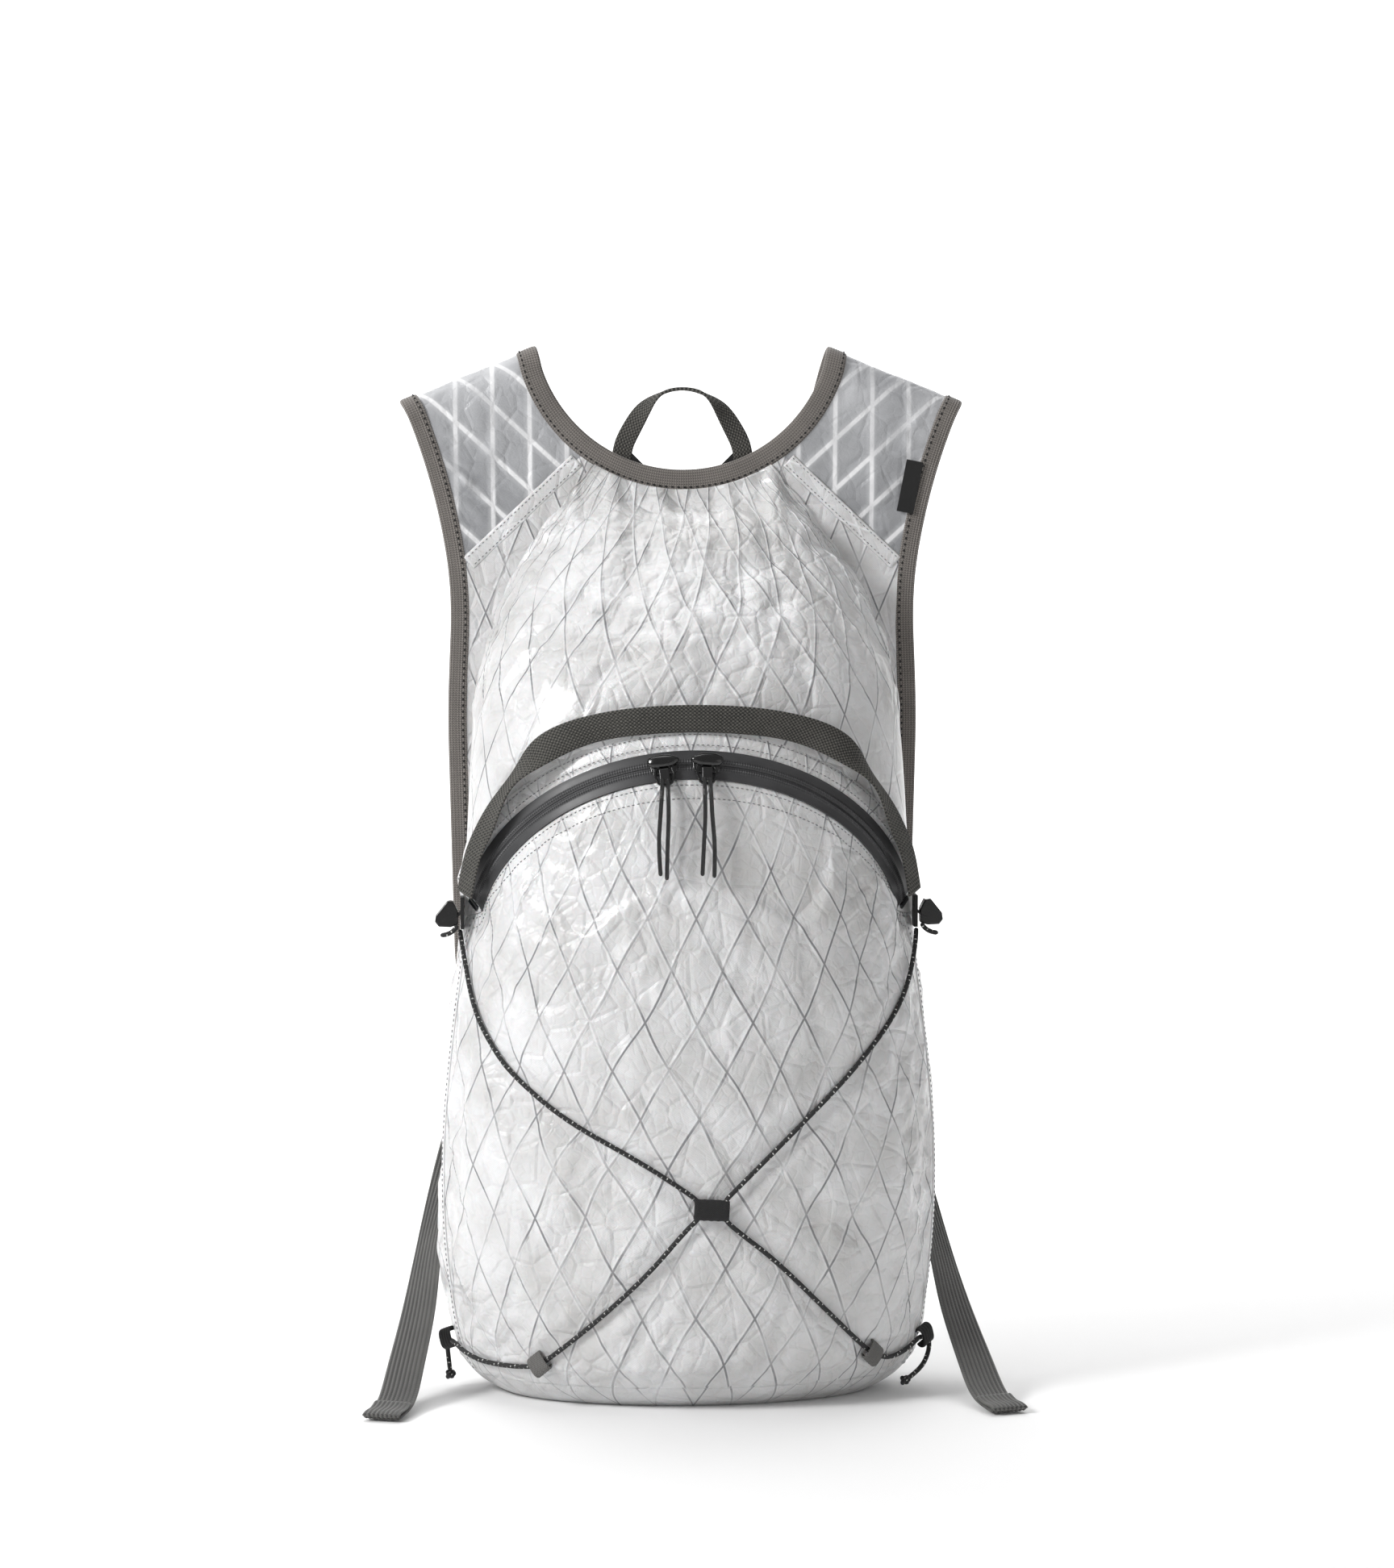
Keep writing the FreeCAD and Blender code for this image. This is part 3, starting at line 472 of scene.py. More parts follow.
def woven(name, dark, light, pitch, rough=0.75, gloss=0.0):
    """Plain coarse weave: over and under in both directions."""
    n = Nodes(name)
    warp = n.wave(n.u, pitch)
    weft = n.wave(n.v, pitch * 1.15)
    under = n.times(n.less(1.0, warp), n.less(1.0, weft))
    cloth = n.math("MAXIMUM", n.times(warp, weft), under)
    tone = n.scaled(n.noise(60, 3, 0.6), 0.3, n.times(cloth, 0.8))
    color = n.mix(n.ramp(tone, 0.25, 0.85), dark, light)
    normal = n.bumps((cloth, 0.35, 0.85), (n.noise(800, 3, 0.6), 0.05, 0.5))
    return n.finish(color, rough, Normal=normal, Sheen_Weight=0.05, Coat_Weight=gloss)


def moulded(name, color, worn_color, rough):
    """Moulded plastic: a faint grain, and scuffs and patches that are a little duller."""
    n = Nodes(name)
    scuffs = n.ramp(n.noise(420, 5, 0.7), 0.55, 0.8)
    handled = n.ramp(n.noise(90), 0.35, 0.75)
    tone = n.mix(n.times(scuffs, 0.5), color, worn_color)
    gloss = n.scaled(scuffs, 0.12, n.scaled(handled, 0.12, rough))
    normal = n.bumps((n.noise(1400, 2), 0.012, 0.4))
    return n.finish(tone, gloss, Normal=normal, Coat_Weight=0.35, Coat_Roughness=0.08)


TOOTH_ROW, TOOTH_PITCH = 1.9, 1.3


def coated_tape():
    """Smooth charcoal film over the zip's tape, with painted shade between the teeth and a painted
    highlight along the row of teeth under each half.
    """
    n = Nodes("coated_zip_tape")
    cloudy = n.noise(70)
    tone = n.mix(n.ramp(cloudy, 0.3, 0.7), rgb(0.030, 0.030, 0.032), rgb(0.045, 0.045, 0.047))
    off_row = n.math("ABSOLUTE", n.less(n.math("ABSOLUTE", n.v), TOOTH_ROW))
    # painted shade: dark spots one tooth pitch apart along each row, standing in for shade between
    # the teeth
    beside = n.times(n.ramp(off_row, 1.15, 0.7), n.wave(n.u, TOOTH_PITCH))
    tone = n.mix(beside, tone, rgb(0.008, 0.008, 0.009))
    # painted highlight: a lighter band along the middle of each row of teeth
    tone = n.mix(n.ramp(off_row, 0.5, 0.15, 0.0, 0.45), tone, rgb(0.12, 0.12, 0.125))
    rough = n.ramp(cloudy, 0.3, 0.7, 0.42, 0.55)
    normal = n.bumps((n.noise(1500, 3, 0.6), 0.03, 0.6))
    return n.finish(tone, rough, Normal=normal, Coat_Weight=0.1, Coat_Roughness=0.35)


def braided_cord():
    """Black braided cover with a pale fleck every few millimetres."""
    n = Nodes("braided_cord")
    turn = n.times(n.u, 0.9)
    strands = [n.wave(position, 0.95) for position in (n.add(n.v, turn), n.less(n.v, turn))]
    braid = n.math("MAXIMUM", *strands)
    step, ring = n.cycle(n.v, 2.8), n.cycle(n.scaled(n.v, 0.35, n.u), 3.93)
    there = n.times(n.ramp(step, 0.1, 0.16), n.ramp(step, 0.36, 0.30))
    beside = n.times(n.ramp(ring, 0.08, 0.14), n.ramp(ring, 0.42, 0.36))
    dark = n.mix(braid, rgb(0.003), rgb(0.012, 0.012, 0.013))
    color = n.mix(n.times(there, beside), dark, rgb(0.62, 0.62, 0.60))
    return n.finish(color, 0.6, Normal=n.bumps((braid, 0.14, 0.9)), Sheen_Weight=0.05)


DIAMOND = (21.0, 51.0)
VEST_DIAMOND = (21.5, 49.0)
BLACK, SOFT_BLACK = rgb(0.003), rgb(0.012, 0.012, 0.013)
PALE_YARN = rgb(0.80, 0.80, 0.81)
WHITE = laminate(
    "white_laminate", rgb(0.74, 0.74, 0.75), rgb(0.54, 0.535, 0.53), rgb(0.20, 0.20, 0.21),
    DIAMOND, 1.3, 0.8, 0.06,
)
HEM = laminate(
    "hem_laminate", rgb(0.76, 0.76, 0.77), rgb(0.56, 0.555, 0.55), PALE_YARN,
    DIAMOND, 1.3, 0.5, 0.06,
)
# the yoke's grey laminate; its last entry is painted shade, full below 0.455 m and gone by 0.56 m
GREY = laminate(
    "grey_laminate", rgb(0.50, 0.505, 0.52), rgb(0.36, 0.365, 0.38), PALE_YARN,
    VEST_DIAMOND, 3.4, 0.55, 0.0, (0.455, 0.56, rgb(0.17, 0.175, 0.185)),
)
TAPE = ribbed(
    "binding_tape", rgb(0.075, 0.068, 0.062), rgb(0.27, 0.245, 0.225), 1.45, 1.25, 0.8, 0.38
)
TAIL = ribbed("tail_webbing", rgb(0.022, 0.022, 0.021), rgb(0.12, 0.118, 0.11), 2.35, 1.1, 0.7)
HANDLE = woven("handle_webbing", rgb(0.006, 0.006, 0.005), rgb(0.105, 0.10, 0.088), 1.9)
BLACK_TAPE = woven("black_tape", BLACK, SOFT_BLACK, 0.9)
GREY_TAPE = woven("grey_tape", rgb(0.07, 0.068, 0.065), rgb(0.22, 0.215, 0.205), 0.9)
DARK_THREAD = woven("dark_thread", rgb(0.004), rgb(0.014, 0.014, 0.013), 0.4)
SEAM_THREAD = woven("seam_thread", rgb(0.16, 0.16, 0.165), rgb(0.30, 0.30, 0.31), 0.4)
PLASTIC = moulded("gloss_black_plastic", BLACK, SOFT_BLACK, 0.16)
COIL = moulded("coil_plastic", rgb(0.01, 0.01, 0.011), rgb(0.04, 0.04, 0.042), 0.35)
PULL = woven("pull_cord", BLACK, SOFT_BLACK, 0.5, 0.32, 0.25)
COATED = coated_tape()
CORD = braided_cord()

# ---------- the body's curved surface
STATIONS = np.array(
    [
        # half width, half depth, middle, height
        (96, 52, 0, 0), (115, 69, 0, 13), (127, 82, 0, 52), (131, 88, 0, 130), (123, 88, 0, 212),
        (116.5, 85, 1, 270), (113, 78, 6, 333), (105, 66, 25, 394), (84, 38, 43, 440),
        (47, 8, 45, 487),
    ],
    float,
)
BACK = 45.0
SIDE_SEAM = -18.0
BASE_SEAM = 12.0
ZIP_RADIUS = 114.0
ZIP_LEAN = math.radians(36)
LEAN_COS, LEAN_SIN = math.cos(ZIP_LEAN), math.sin(ZIP_LEAN)
ZIP_MIDDLE = np.array((0, -5, 240.8))
ZIP_HALF = math.radians(78)
TAPE_CONE = math.radians(60)
TAPE_HALF = 7.8
GUSSET = 10.0
SEAM_SHARE = 0.72
profile = spline(STATIONS[:, [3, 0, 1, 2]], 900)


def oval(z):
    """Half width, half depth and middle of the body at a height."""
    return [np.interp(z, profile[:, 0], profile[:, c]) for c in (1, 2, 3)]


def on_body(angle, z):
    """A point of the body's wall; the angle is 0 at the front and positive to the right."""
    wide, deep, middle = oval(z)
    return join(wide * np.sin(angle), middle - deep * np.cos(angle), z)


def reach(z, y):
    """The wall's angle where it meets a plane across the bag."""
    _, deep, middle = oval(z)
    return np.arccos(np.clip((middle - y) / deep, -1, 1))


def from_arch(x, up, out):
    """A place from its distances across, up and out of the leaning plane of the zip's arch."""
    _, y, z = ZIP_MIDDLE
    return join(x, y - up * LEAN_SIN - out * LEAN_COS, z + up * LEAN_COS - out * LEAN_SIN)


def zip_point(phi, across=0.0, out=0.0, radius=ZIP_RADIUS):
    """A point beside the zip's arch; phi is its angle from the top, positive to the right."""
    r = radius + across * math.cos(TAPE_CONE) + out * math.sin(TAPE_CONE)
    n = out * math.cos(TAPE_CONE) - across * math.sin(TAPE_CONE)
    return from_arch(r * np.sin(phi), r * np.cos(phi), n)


def zip_out(phi, across=0.0):
    """The direction that stands off the zip's tape."""
    return unit(zip_point(phi, across, 1.0) - zip_point(phi, across))


def wall_radius(phi):
    """How far from the arch's centre the zip's plane meets the wall."""

    def inside(radius):
        p = zip_point(phi, radius=radius)
        wide, deep, centre = oval(p[..., 2])
        return (p[..., 0] / wide) ** 2 + ((p[..., 1] - centre) / deep) ** 2 < 1

    return close_in(np.full_like(phi, 60.0), np.full_like(phi, 200.0), inside)


def split_line(phi, across):
    """The edge of a panel along the zip, running on as a seam past the zip's ends."""
    past = smoothstep(ZIP_HALF, ZIP_HALF + math.radians(7), np.abs(phi))
    radius = ZIP_RADIUS + (wall_radius(phi) - ZIP_RADIUS) * past
    return zip_point(phi, across * (1 - past), 0.0, radius)


def angle_of(p):
    wide, deep, middle = oval(p[..., 2])
    return np.arctan2(p[..., 0] / wide, (middle - p[..., 1]) / deep)


def back_phi():
    """The zip-plane angle at which the seam behind the zip meets the back panel."""
    phi = np.linspace(1.4, 2.6, 600)
    return np.interp(BACK, split_line(phi, 0.0)[:, 1], phi)


PHI_BACK = back_phi()


def column_share(angle, z):
    """0 at the front middle, SEAM_SHARE at the side seam, 1 at the back panel."""
    seam, back = reach(z, SIDE_SEAM), reach(z, BACK)
    size = np.abs(angle)
    outer = SEAM_SHARE + (1 - SEAM_SHARE) * (size - seam) / (back - seam)
    return np.sign(angle) * np.where(size < seam, SEAM_SHARE * size / seam, outer)


def column_angle(share, z):
    seam, back = reach(z, SIDE_SEAM), reach(z, BACK)
    size = np.abs(share)
    outer = seam + (size - SEAM_SHARE) / (1 - SEAM_SHARE) * (back - seam)
    return np.sign(share) * np.where(size < SEAM_SHARE, size / SEAM_SHARE * seam, outer)


# ---------- what lies on the fabric
SHOCK_ROUTES = {
    "left": [
        (-119.4, -17.5, 243.5), (-117.6, -27, 232), (-112.6, -41.5, 205), (-103, -54.9, 187),
        (-93, -63.9, 174), (-67.4, -78.4, 153), (-29, -88.8, 132.5), (-6, -90.6, 117.5),
        (1.2, -91.1, 112), (1.2, -91.1, 104), (-5.5, -90.3, 98), (-24.7, -86.7, 74.7),
        (-50.2, -77.9, 49.5), (-74.5, -62.9, 27.5), (-82.5, -57.2, 21.5), (-105.6, -37.4, 20.3),
        (-117.5, -24.5, 23.5), (-124.5, -9, 28), (-127, 1, 25.5), (-126.3, 3.5, 17),
        (-125.5, 3, 10),
    ],
    "right": [
        (118.6, -20, 243.5), (117.4, -27.8, 232), (107.9, -47.9, 206), (82.1, -71.2, 177),
        (52, -84.1, 149), (20, -90.4, 118.5), (13.2, -91.1, 112), (13.2, -91.1, 104),
        (19, -90.1, 98), (39.3, -85, 81.8), (64.8, -74.5, 55.6), (87.4, -57.7, 31.5),
        (94.5, -50.4, 25.5), (103, -41.5, 21.6), (114, -30.2, 24.5), (121.5, -21.5, 30),
        (127, -16, 26.5), (125.5, -19, 18.5), (120.5, -26, 12.5), (114, -32.5, 9.5),
    ],
}
SHOCK_LINES = {word: nurbs_line(route) for word, route in SHOCK_ROUTES.items()}
HANDLE_HALF = (
    (0, -69.5, 356.5, 0, -0.3, 0.95),
    (30, -68, 355, 0, -0.3, 0.95),
    (56, -63, 350, 0.15, -0.25, 0.95),
    (78, -57.5, 339.5, 0.3, 0.35, 0.85),
    (91.8, -50.2, 325.5, 0.0, 0.85, 0.4),
    (101.2, -43.0, 310, 0.3, 0.9, 0.3),
    (107, -37.6, 298, 0.5, 0.85, 0.2),
    (112.2, -33, 286, 0.5, 0.85, 0.1),
    (115.0, -29.5, 275, 0.5, 0.85, 0.1),
    (117.0, -27.0, 264, 0.5, 0.85, 0.1),
)
PULL_ROUTES = {
    "left_outer": [
        (-17, -79.9, 325.6), (-17.6, -84.2, 319.5), (-18.4, -85.2, 308), (-19.6, -87.6, 293),
        (-18.6, -90, 279),
    ],
    "left_inner": [
        (-14.4, -79.9, 325.6), (-14.4, -84.2, 319.5), (-14.2, -85.3, 307), (-15, -87.9, 291.5),
        (-15.4, -90.2, 277),
    ],
    "right_inner": [
        (4.3, -80.5, 326.4), (4.1, -84.8, 320.3), (4.4, -85.7, 308), (3.4, -87.8, 293),
        (2.6, -90.1, 279),
    ],
    "right_outer": [
        (6.9, -80.5, 326.4), (7.3, -84.8, 320.3), (7.8, -85.8, 307.5), (9.2, -88, 292),
        (8.6, -90.2, 278),
    ],
}


def pulls_swept():
    """Where the hanging pull cords pass as the sliders run along the zip."""
    lines = []
    for word, route in PULL_ROUTES.items():
        p = spline(route, 12) - ZIP_MIDDLE
        up, out = p[:, 2] * LEAN_COS - p[:, 1] * LEAN_SIN, -p[:, 1] * LEAN_COS - p[:, 2] * LEAN_SIN
        radius, phi = np.hypot(p[:, 0], up), np.arctan2(p[:, 0], up)
        for run in np.radians(np.arange(0, 36, 5)):
            turned = phi + (run if word.startswith("right") else -run)
            lines.append(from_arch(radius * np.sin(turned), radius * np.cos(turned), out))
    return lines


def away_from(points, lines, low, high):
    """0 within one distance of the lines, 1 beyond the other."""
    nearest = np.full(points.shape[:2], 1e9)
    for stop in np.concatenate(lines):
        nearest = np.minimum(nearest, np.linalg.norm(points - stop, axis=-1))
    return smoothstep(low, high, nearest)


def handle_ends():
    """The handle's two sewn ends, which lie close on the fabric."""
    fine = spline(np.array(HANDLE_HALF)[:, :3], 80)
    end = fine[fine[:, 2] < 322]
    return [end, end * (-1, 1, 1)]


# ---------- crumpled fabric
def crinkle(points, seed):
    """How far crumpled film stands off its smooth surface: sharp creases both ways."""
    offset = Vector((seed * 7.3, seed * 3.1, seed * 5.7))
    broad = film(points, (60, 60, 80), offset)
    warp = join(9 * broad, 5 * broad, 12 * broad)
    folds = np.abs(film(points + warp, (27, 27, 44), offset * 2))
    cross = np.abs(film(points - warp, (16, 16, 23), offset * 3))
    small = np.abs(film(points + warp, (7.5, 7.5, 10), offset * 4))
    return 1.2 * broad + 2.5 * folds - 2.3 * cross + 1.0 * small - 0.1


def tiles(uvs, seed, amplitude):
    """Nearly flat tiles between the heavy yarns: random heights where the yarns cross."""
    heights = np.random.default_rng(seed).uniform(-1, 1, (97, 89))
    wide, tall = uvs[..., 0] / DIAMOND[0], uvs[..., 1] / DIAMOND[1]
    a, b = wide + tall, wide - tall
    i, j = np.floor(a).astype(int), np.floor(b).astype(int)
    s, t = a - i, b - j

    def edge(dj):
        first, last = (heights[(i + di) % 97, (j + dj) % 89] for di in (0, 1))
        return first * (1 - s) + last * s

    ridge = np.minimum(np.minimum(s, 1 - s), np.minimum(t, 1 - t))
    return amplitude * (edge(0) * (1 - t) + edge(1) * t) + 0.35 * np.exp(-((ridge / 0.035) ** 2))


def wander(uvs, points, seed):
    """Lets the yarns wander a little, as they do on crumpled cloth."""
    across, up = film(points, 38, (seed, 2, 9)), film(points, 45, (4, seed, 1))
    return uvs + join(2.6 * across, 3.0 * up)


def from_edge(count):
    """For each of a row of points, how many steps it is from the nearer end."""
    return np.minimum(np.arange(count), np.arange(count)[::-1])


def edge_fade(rows, cols, margin_rows, margin_cols):
    by_row = smoothstep(0, margin_rows, from_edge(rows))[:, None]
    return by_row * smoothstep(0, margin_cols, from_edge(cols))


CLOTH = {
    "vertex_group_mass": "held", "quality": 5, "mass": 0.3, "tension_stiffness": 30,
    "compression_stiffness": 30, "shear_stiffness": 12, "bending_stiffness": 0.6,
    "use_pressure": True, "uniform_pressure_force": 1.5,
}
CLOTH_STEP = 3
CLOTH_SCALE = 10
CLOTH_GROWTH = 0.012
CLOTH_FRAMES = 18


def settle(points):
    """Cloth simulation of a panel held at its edges with a little spare fabric, so it buckles."""
    coarse = points[::CLOTH_STEP, ::CLOTH_STEP]
    rows, cols, _ = coarse.shape
    mesh = bpy.data.meshes.new("settling")
    scaled = coarse.reshape(-1, 3) * MM * CLOTH_SCALE
    mesh.from_pydata(scaled.tolist(), [], grid_faces(rows, cols))
    obj = link("settling", mesh)
    held = obj.vertex_groups.new(name="held")
    ring = np.ones((rows, cols), bool)
    ring[1:-1, 1:-1] = False
    held.add(np.flatnonzero(ring.ravel()).tolist(), 1.0, "REPLACE")
    cloth = obj.modifiers.new("cloth", "CLOTH")
    for key, value in CLOTH.items():
        setattr(cloth.settings, key, value)
    cloth.settings.shrink_min = -CLOTH_GROWTH
    cloth.settings.effector_weights.gravity = 0
    cloth.collision_settings.use_collision = False
    scene = bpy.context.scene
    for number in range(1, CLOTH_FRAMES + 1):
        scene.frame_set(number)
    shown = obj.evaluated_get(bpy.context.evaluated_depsgraph_get())
    settled = np.array([v.co for v in shown.data.vertices]) / MM / CLOTH_SCALE
    scene.frame_set(1)
    bpy.data.objects.remove(obj)
    move = settled.reshape(rows, cols, 3) - coarse
    lift = np.sum(move * grid_normals(coarse), axis=-1)
    row_at, col_at = (np.arange(count) / CLOTH_STEP for count in points.shape[:2])
    by_col = sample(lift.T, np.arange(cols), col_at)
    return sample(by_col.T, np.arange(rows), row_at)


def crumpled(points, uvs, seed, tile_height, buckle):
    """Lift of a shell's fabric before it is held down: film, tiles and buckles."""
    lift = crinkle(points, seed) + tiles(uvs, seed, tile_height)
    lift = lift + np.clip(settle(points), *buckle)
    return lift


# ---------- lower and upper shells
LOWER_ROWS, LOWER_COLS = 231, 361
UPPER_ROWS, UPPER_COLS = 151, 301
SHELL_THICKNESS = 0.8
LOWER_GRID, UPPER_GRID = 178, 165
NECK = (0.0, 563.0)
NECK_RADIUS = 79.0
NECK_TUCK = 43.6


def shares_to_phi(shares, across, share_of):
    """The zip-plane angles whose edge points lie on the given columns."""
    phi = np.linspace(-PHI_BACK, PHI_BACK, 1601)
    edge = split_line(phi, across)
    return np.interp(shares, share_of(angle_of(edge), edge[:, 2]), phi)


def lower_shell(shares):
    """Smooth surface of the front and side panels, from the base seam up to the zip."""
    top = split_line(shares_to_phi(shares, -TAPE_HALF, column_share), -TAPE_HALF)
    z = BASE_SEAM + (top[:, 2] - BASE_SEAM) * np.linspace(0, 1, LOWER_ROWS)[:, None]
    points = on_body(column_angle(shares + 0 * z, z), z)
    points = points + (top - points[-1]) * (1 - smoothstep(0, 26, top[:, 2] - z))[..., None]
    return points, join(shares * LOWER_GRID, z)


def neck_height(shares):
    """The height at which each column of the upper shell reaches the neck binding."""

    def below(z):
        p = on_body(shares * reach(z, BACK), z)
        return np.hypot(p[:, 0], p[:, 2] - NECK[1]) > NECK_RADIUS + 10.4

    return close_in(np.full_like(shares, 440.0), np.full_like(shares, 487.0), below)


def upper_shell():
    """Smooth surface of the upper panel, from above the zip to the tuck under the neckline."""
    shares = np.linspace(-1, 1, UPPER_COLS)
    across = TAPE_HALF + GUSSET
    phi = shares_to_phi(shares, across, lambda angle, z: angle / reach(z, BACK))
    low, top = split_line(phi, across), neck_height(shares)
    z = low[:, 2] + (top - low[:, 2]) * np.linspace(0, 1, UPPER_ROWS)[:, None]
    points = on_body(shares * reach(z, BACK), z)
    points = points + (low - points[0]) * (1 - smoothstep(0, 22, z - low[:, 2]))[..., None]
    points[..., 1] += (NECK_TUCK - points[..., 1]) * smoothstep(34, 0, top - z) ** 1.5
    return points, join(shares * UPPER_GRID, z)


def gathers(points):
    """Soft pleats that run down from the neckline."""
    fall = points[:, :, 2].max() - points[..., 2]
    depth = smoothstep(70, 6, fall) * smoothstep(0, 5, fall)
    x = points[..., 0]
    wave = np.sin(x / 3.3 + 1.2 * np.sin(x / 9)) + 0.5 * np.sin(x / 1.9 + 2)
    return 0.9 * wave * depth


def shape_lower():
    """The lower shell's crumpled fabric, flat at its seams and under cords and handle ends."""
    shares = np.linspace(-1, 1, LOWER_COLS)
    points, uvs = lower_shell(shares)
    uvs = wander(uvs, points, 1)
    seam = smoothstep(0.008, 0.06, np.abs(np.abs(shares) - SEAM_SHARE))
    free = away_from(points, [line[::2] for line in SHOCK_LINES.values()], 3.5, 13)
    lift = np.clip(crumpled(points, uvs, 1, 1.7, (-2.0, 2.5)), -3.5, 3.2)
    lift = lift * edge_fade(LOWER_ROWS, LOWER_COLS, 10, 6)
    lift = lift * (0.25 + 0.75 * free) * (0.04 + 0.96 * seam)
    lift = np.where(free < 0.999, np.minimum(lift, 0.4 + 2.5 * free), lift)
    lift = np.minimum(lift, 3.4 * away_from(points, handle_ends(), 9, 16) - 0.6)
    lift = np.minimum(lift, 3.2 * away_from(points, pulls_swept(), 6, 14) - 0.2)
    return points + grid_normals(points) * lift[..., None], uvs


def shape_upper():
    """The upper panel's crumpled fabric, gathered at the neckline and low under the handle."""
    points, uvs = upper_shell()
    uvs = wander(uvs, points, 2)
    lift = np.clip(crumpled(points, uvs, 2, 1.8, (-2.5, 2.5)), -4.0, 3.4)
    lift = lift * edge_fade(UPPER_ROWS, UPPER_COLS, 12, 6)
    lift = np.minimum(lift, 0.6 + 2.6 * smoothstep(0, 30, points[..., 2] - 345)) + gathers(points)
    lift = np.minimum(lift, 4.6 * away_from(points, handle_ends(), 9, 18) - 0.9)
    return points + grid_normals(points) * lift[..., None], uvs


lower_points, lower_uvs = shape_lower()
upper_points, upper_uvs = shape_upper()
left_seam = round((1 - SEAM_SHARE) / 2 * (LOWER_COLS - 1))
right_seam = LOWER_COLS - 1 - left_seam
FRONT = slice(left_seam, right_seam + 1)


def shells():
    parts = (
        ("side_panel_left", slice(0, left_seam + 1)),
        ("front_panel", FRONT),
        ("side_panel_right", slice(right_seam, LOWER_COLS)),
    )
    pieces = [(label, lower_points[:, cols], lower_uvs[:, cols]) for label, cols in parts]
    for label, points, uvs in pieces + [("upper_panel", upper_points, upper_uvs)]:
        place(panel(label + "_fabric", points, uvs, SHELL_THICKNESS, WHITE), "bag", label)


def gusset():
    """The doubled strip above the zip, between the tape and the upper panel."""
    end = ZIP_HALF + math.radians(9)
    phi = np.linspace(-end, end, 421)
    past = smoothstep(ZIP_HALF - math.radians(0.5), ZIP_HALF + math.radians(1), np.abs(phi))
    low = (TAPE_HALF - 1.5) - (2 * TAPE_HALF - 2) * past
    high = TAPE_HALF + GUSSET + 1.2
    shares = np.linspace(0, 1, 13)
    lines = []
    for share in shares:
        across = low + (high - low) * share
        rise = 0.75 * smoothstep(0.2, 0.45, share) * smoothstep(1.0, 0.8, share) * (1 - past)
        lines.append(split_line(phi, across) + zip_out(phi, across) * (rise - 0.25)[:, None])
    points = np.array(lines)
    uvs = join(lengths(points[0]), GUSSET * shares[:, None])
    lift = 0.45 * film(points, 9, (1, 2, 3)) * edge_fade(len(shares), len(phi), 4, 30)
    points = points + grid_normals(points) * lift[..., None]
    place(panel("gusset_fabric", points, uvs, 0.9, WHITE), "bag", "gusset_strip")


def base():
    """The rounded base: a ring up to the seam, closed by the flat patch that the bag stands on."""
    shares = np.linspace(-1, 1, 240)
    wall_rings = 14
    rings = []
    for z in np.linspace(BASE_SEAM + 1.5, 0.0, wall_rings):
        height = np.full(len(shares), z)
        arc = on_body(column_angle(shares, height), height)
        behind = arc[-1] + (arc[0] - arc[-1]) * np.linspace(0, 1, 60)[1:-1, None]
        rings.append(np.concatenate([arc, behind]))
    centre = np.array((0, -2, 0))
    for share in np.linspace(0.94, 0.02, 16):
        rings.append(centre + (rings[wall_rings - 1] - centre) * share)
    points = np.array(rings)
    points[:wall_rings, :, 1] = np.minimum(points[:wall_rings, :, 1], BACK)
    rows, count, _ = points.shape
    n = rows * count
    outer = grid_faces(rows, count, closed=True)
    faces = outer + [[n + i for i in reversed(face)] for face in outer]
    rim = np.arange(count)
    after = np.roll(rim, -1)
    faces += np.stack([n + rim, n + after, after, rim], axis=1).tolist()
    inmost = (n - count + rim).tolist()
    faces.append(inmost)
    faces.append([n + i for i in reversed(inmost)])
    around = np.concatenate([shares * LOWER_GRID, points[0, len(shares):, 0]])
    row = np.arange(rows)
    inward = np.where(row < wall_rings, points[:, 0, 2], -6.0 * (row - wall_rings + 1))
    uvs = join(around, inward[:, None])
    verts = [points, points + (0, 0, SHELL_THICKNESS)]
    place(finish_mesh("base_fabric", verts, faces, [uvs, uvs], WHITE), "bag", "base_panel")


shells()
gusset()
base()

# ---------- vest: back panel and yokes
NECK_TAPE = 11.5
ARM_TAPE = 10.0
VEST_THICKNESS = 1.4
SLOPE = math.tan(math.radians(22.2))
FOLD = 9.0
WEAVE_TURN = math.radians(24)
SHOULDER_X, SHOULDER_Z = 84, 547
SHOULDER_OUTER = 147
YOKE_FACE, YOKE_HEM, BACK_FACE, PATCH_FACE = 45.5, 45.05, 46.6, 49.5
SEAM_INNER, SEAM_OUTER_Z = (57, 485), 429
NECK_TOP = (85, 534)
armhole = np.concatenate(
    [
        three_point_arc((158, 540), (131, 465), (122, 395), 60),
        np.array([(117, 200), (111, 60)]),
        three_point_arc((111, 60), (100, 20), (70, 3), 20)[1:],
    ]
)[::-1]


def arm_x(z):
    """The armhole's edge; beside the full bag the soft vest is pushed a little outwards."""
    pushed = smoothstep(200, 225, z) * (1 - smoothstep(340, 440, z))
    return np.interp(z, armhole[:, 1], armhole[:, 0]) + 4.5 * pushed


def shoulder_z(x, drop=0.0):
    return SHOULDER_Z - (np.abs(x) - SHOULDER_X) * SLOPE - drop


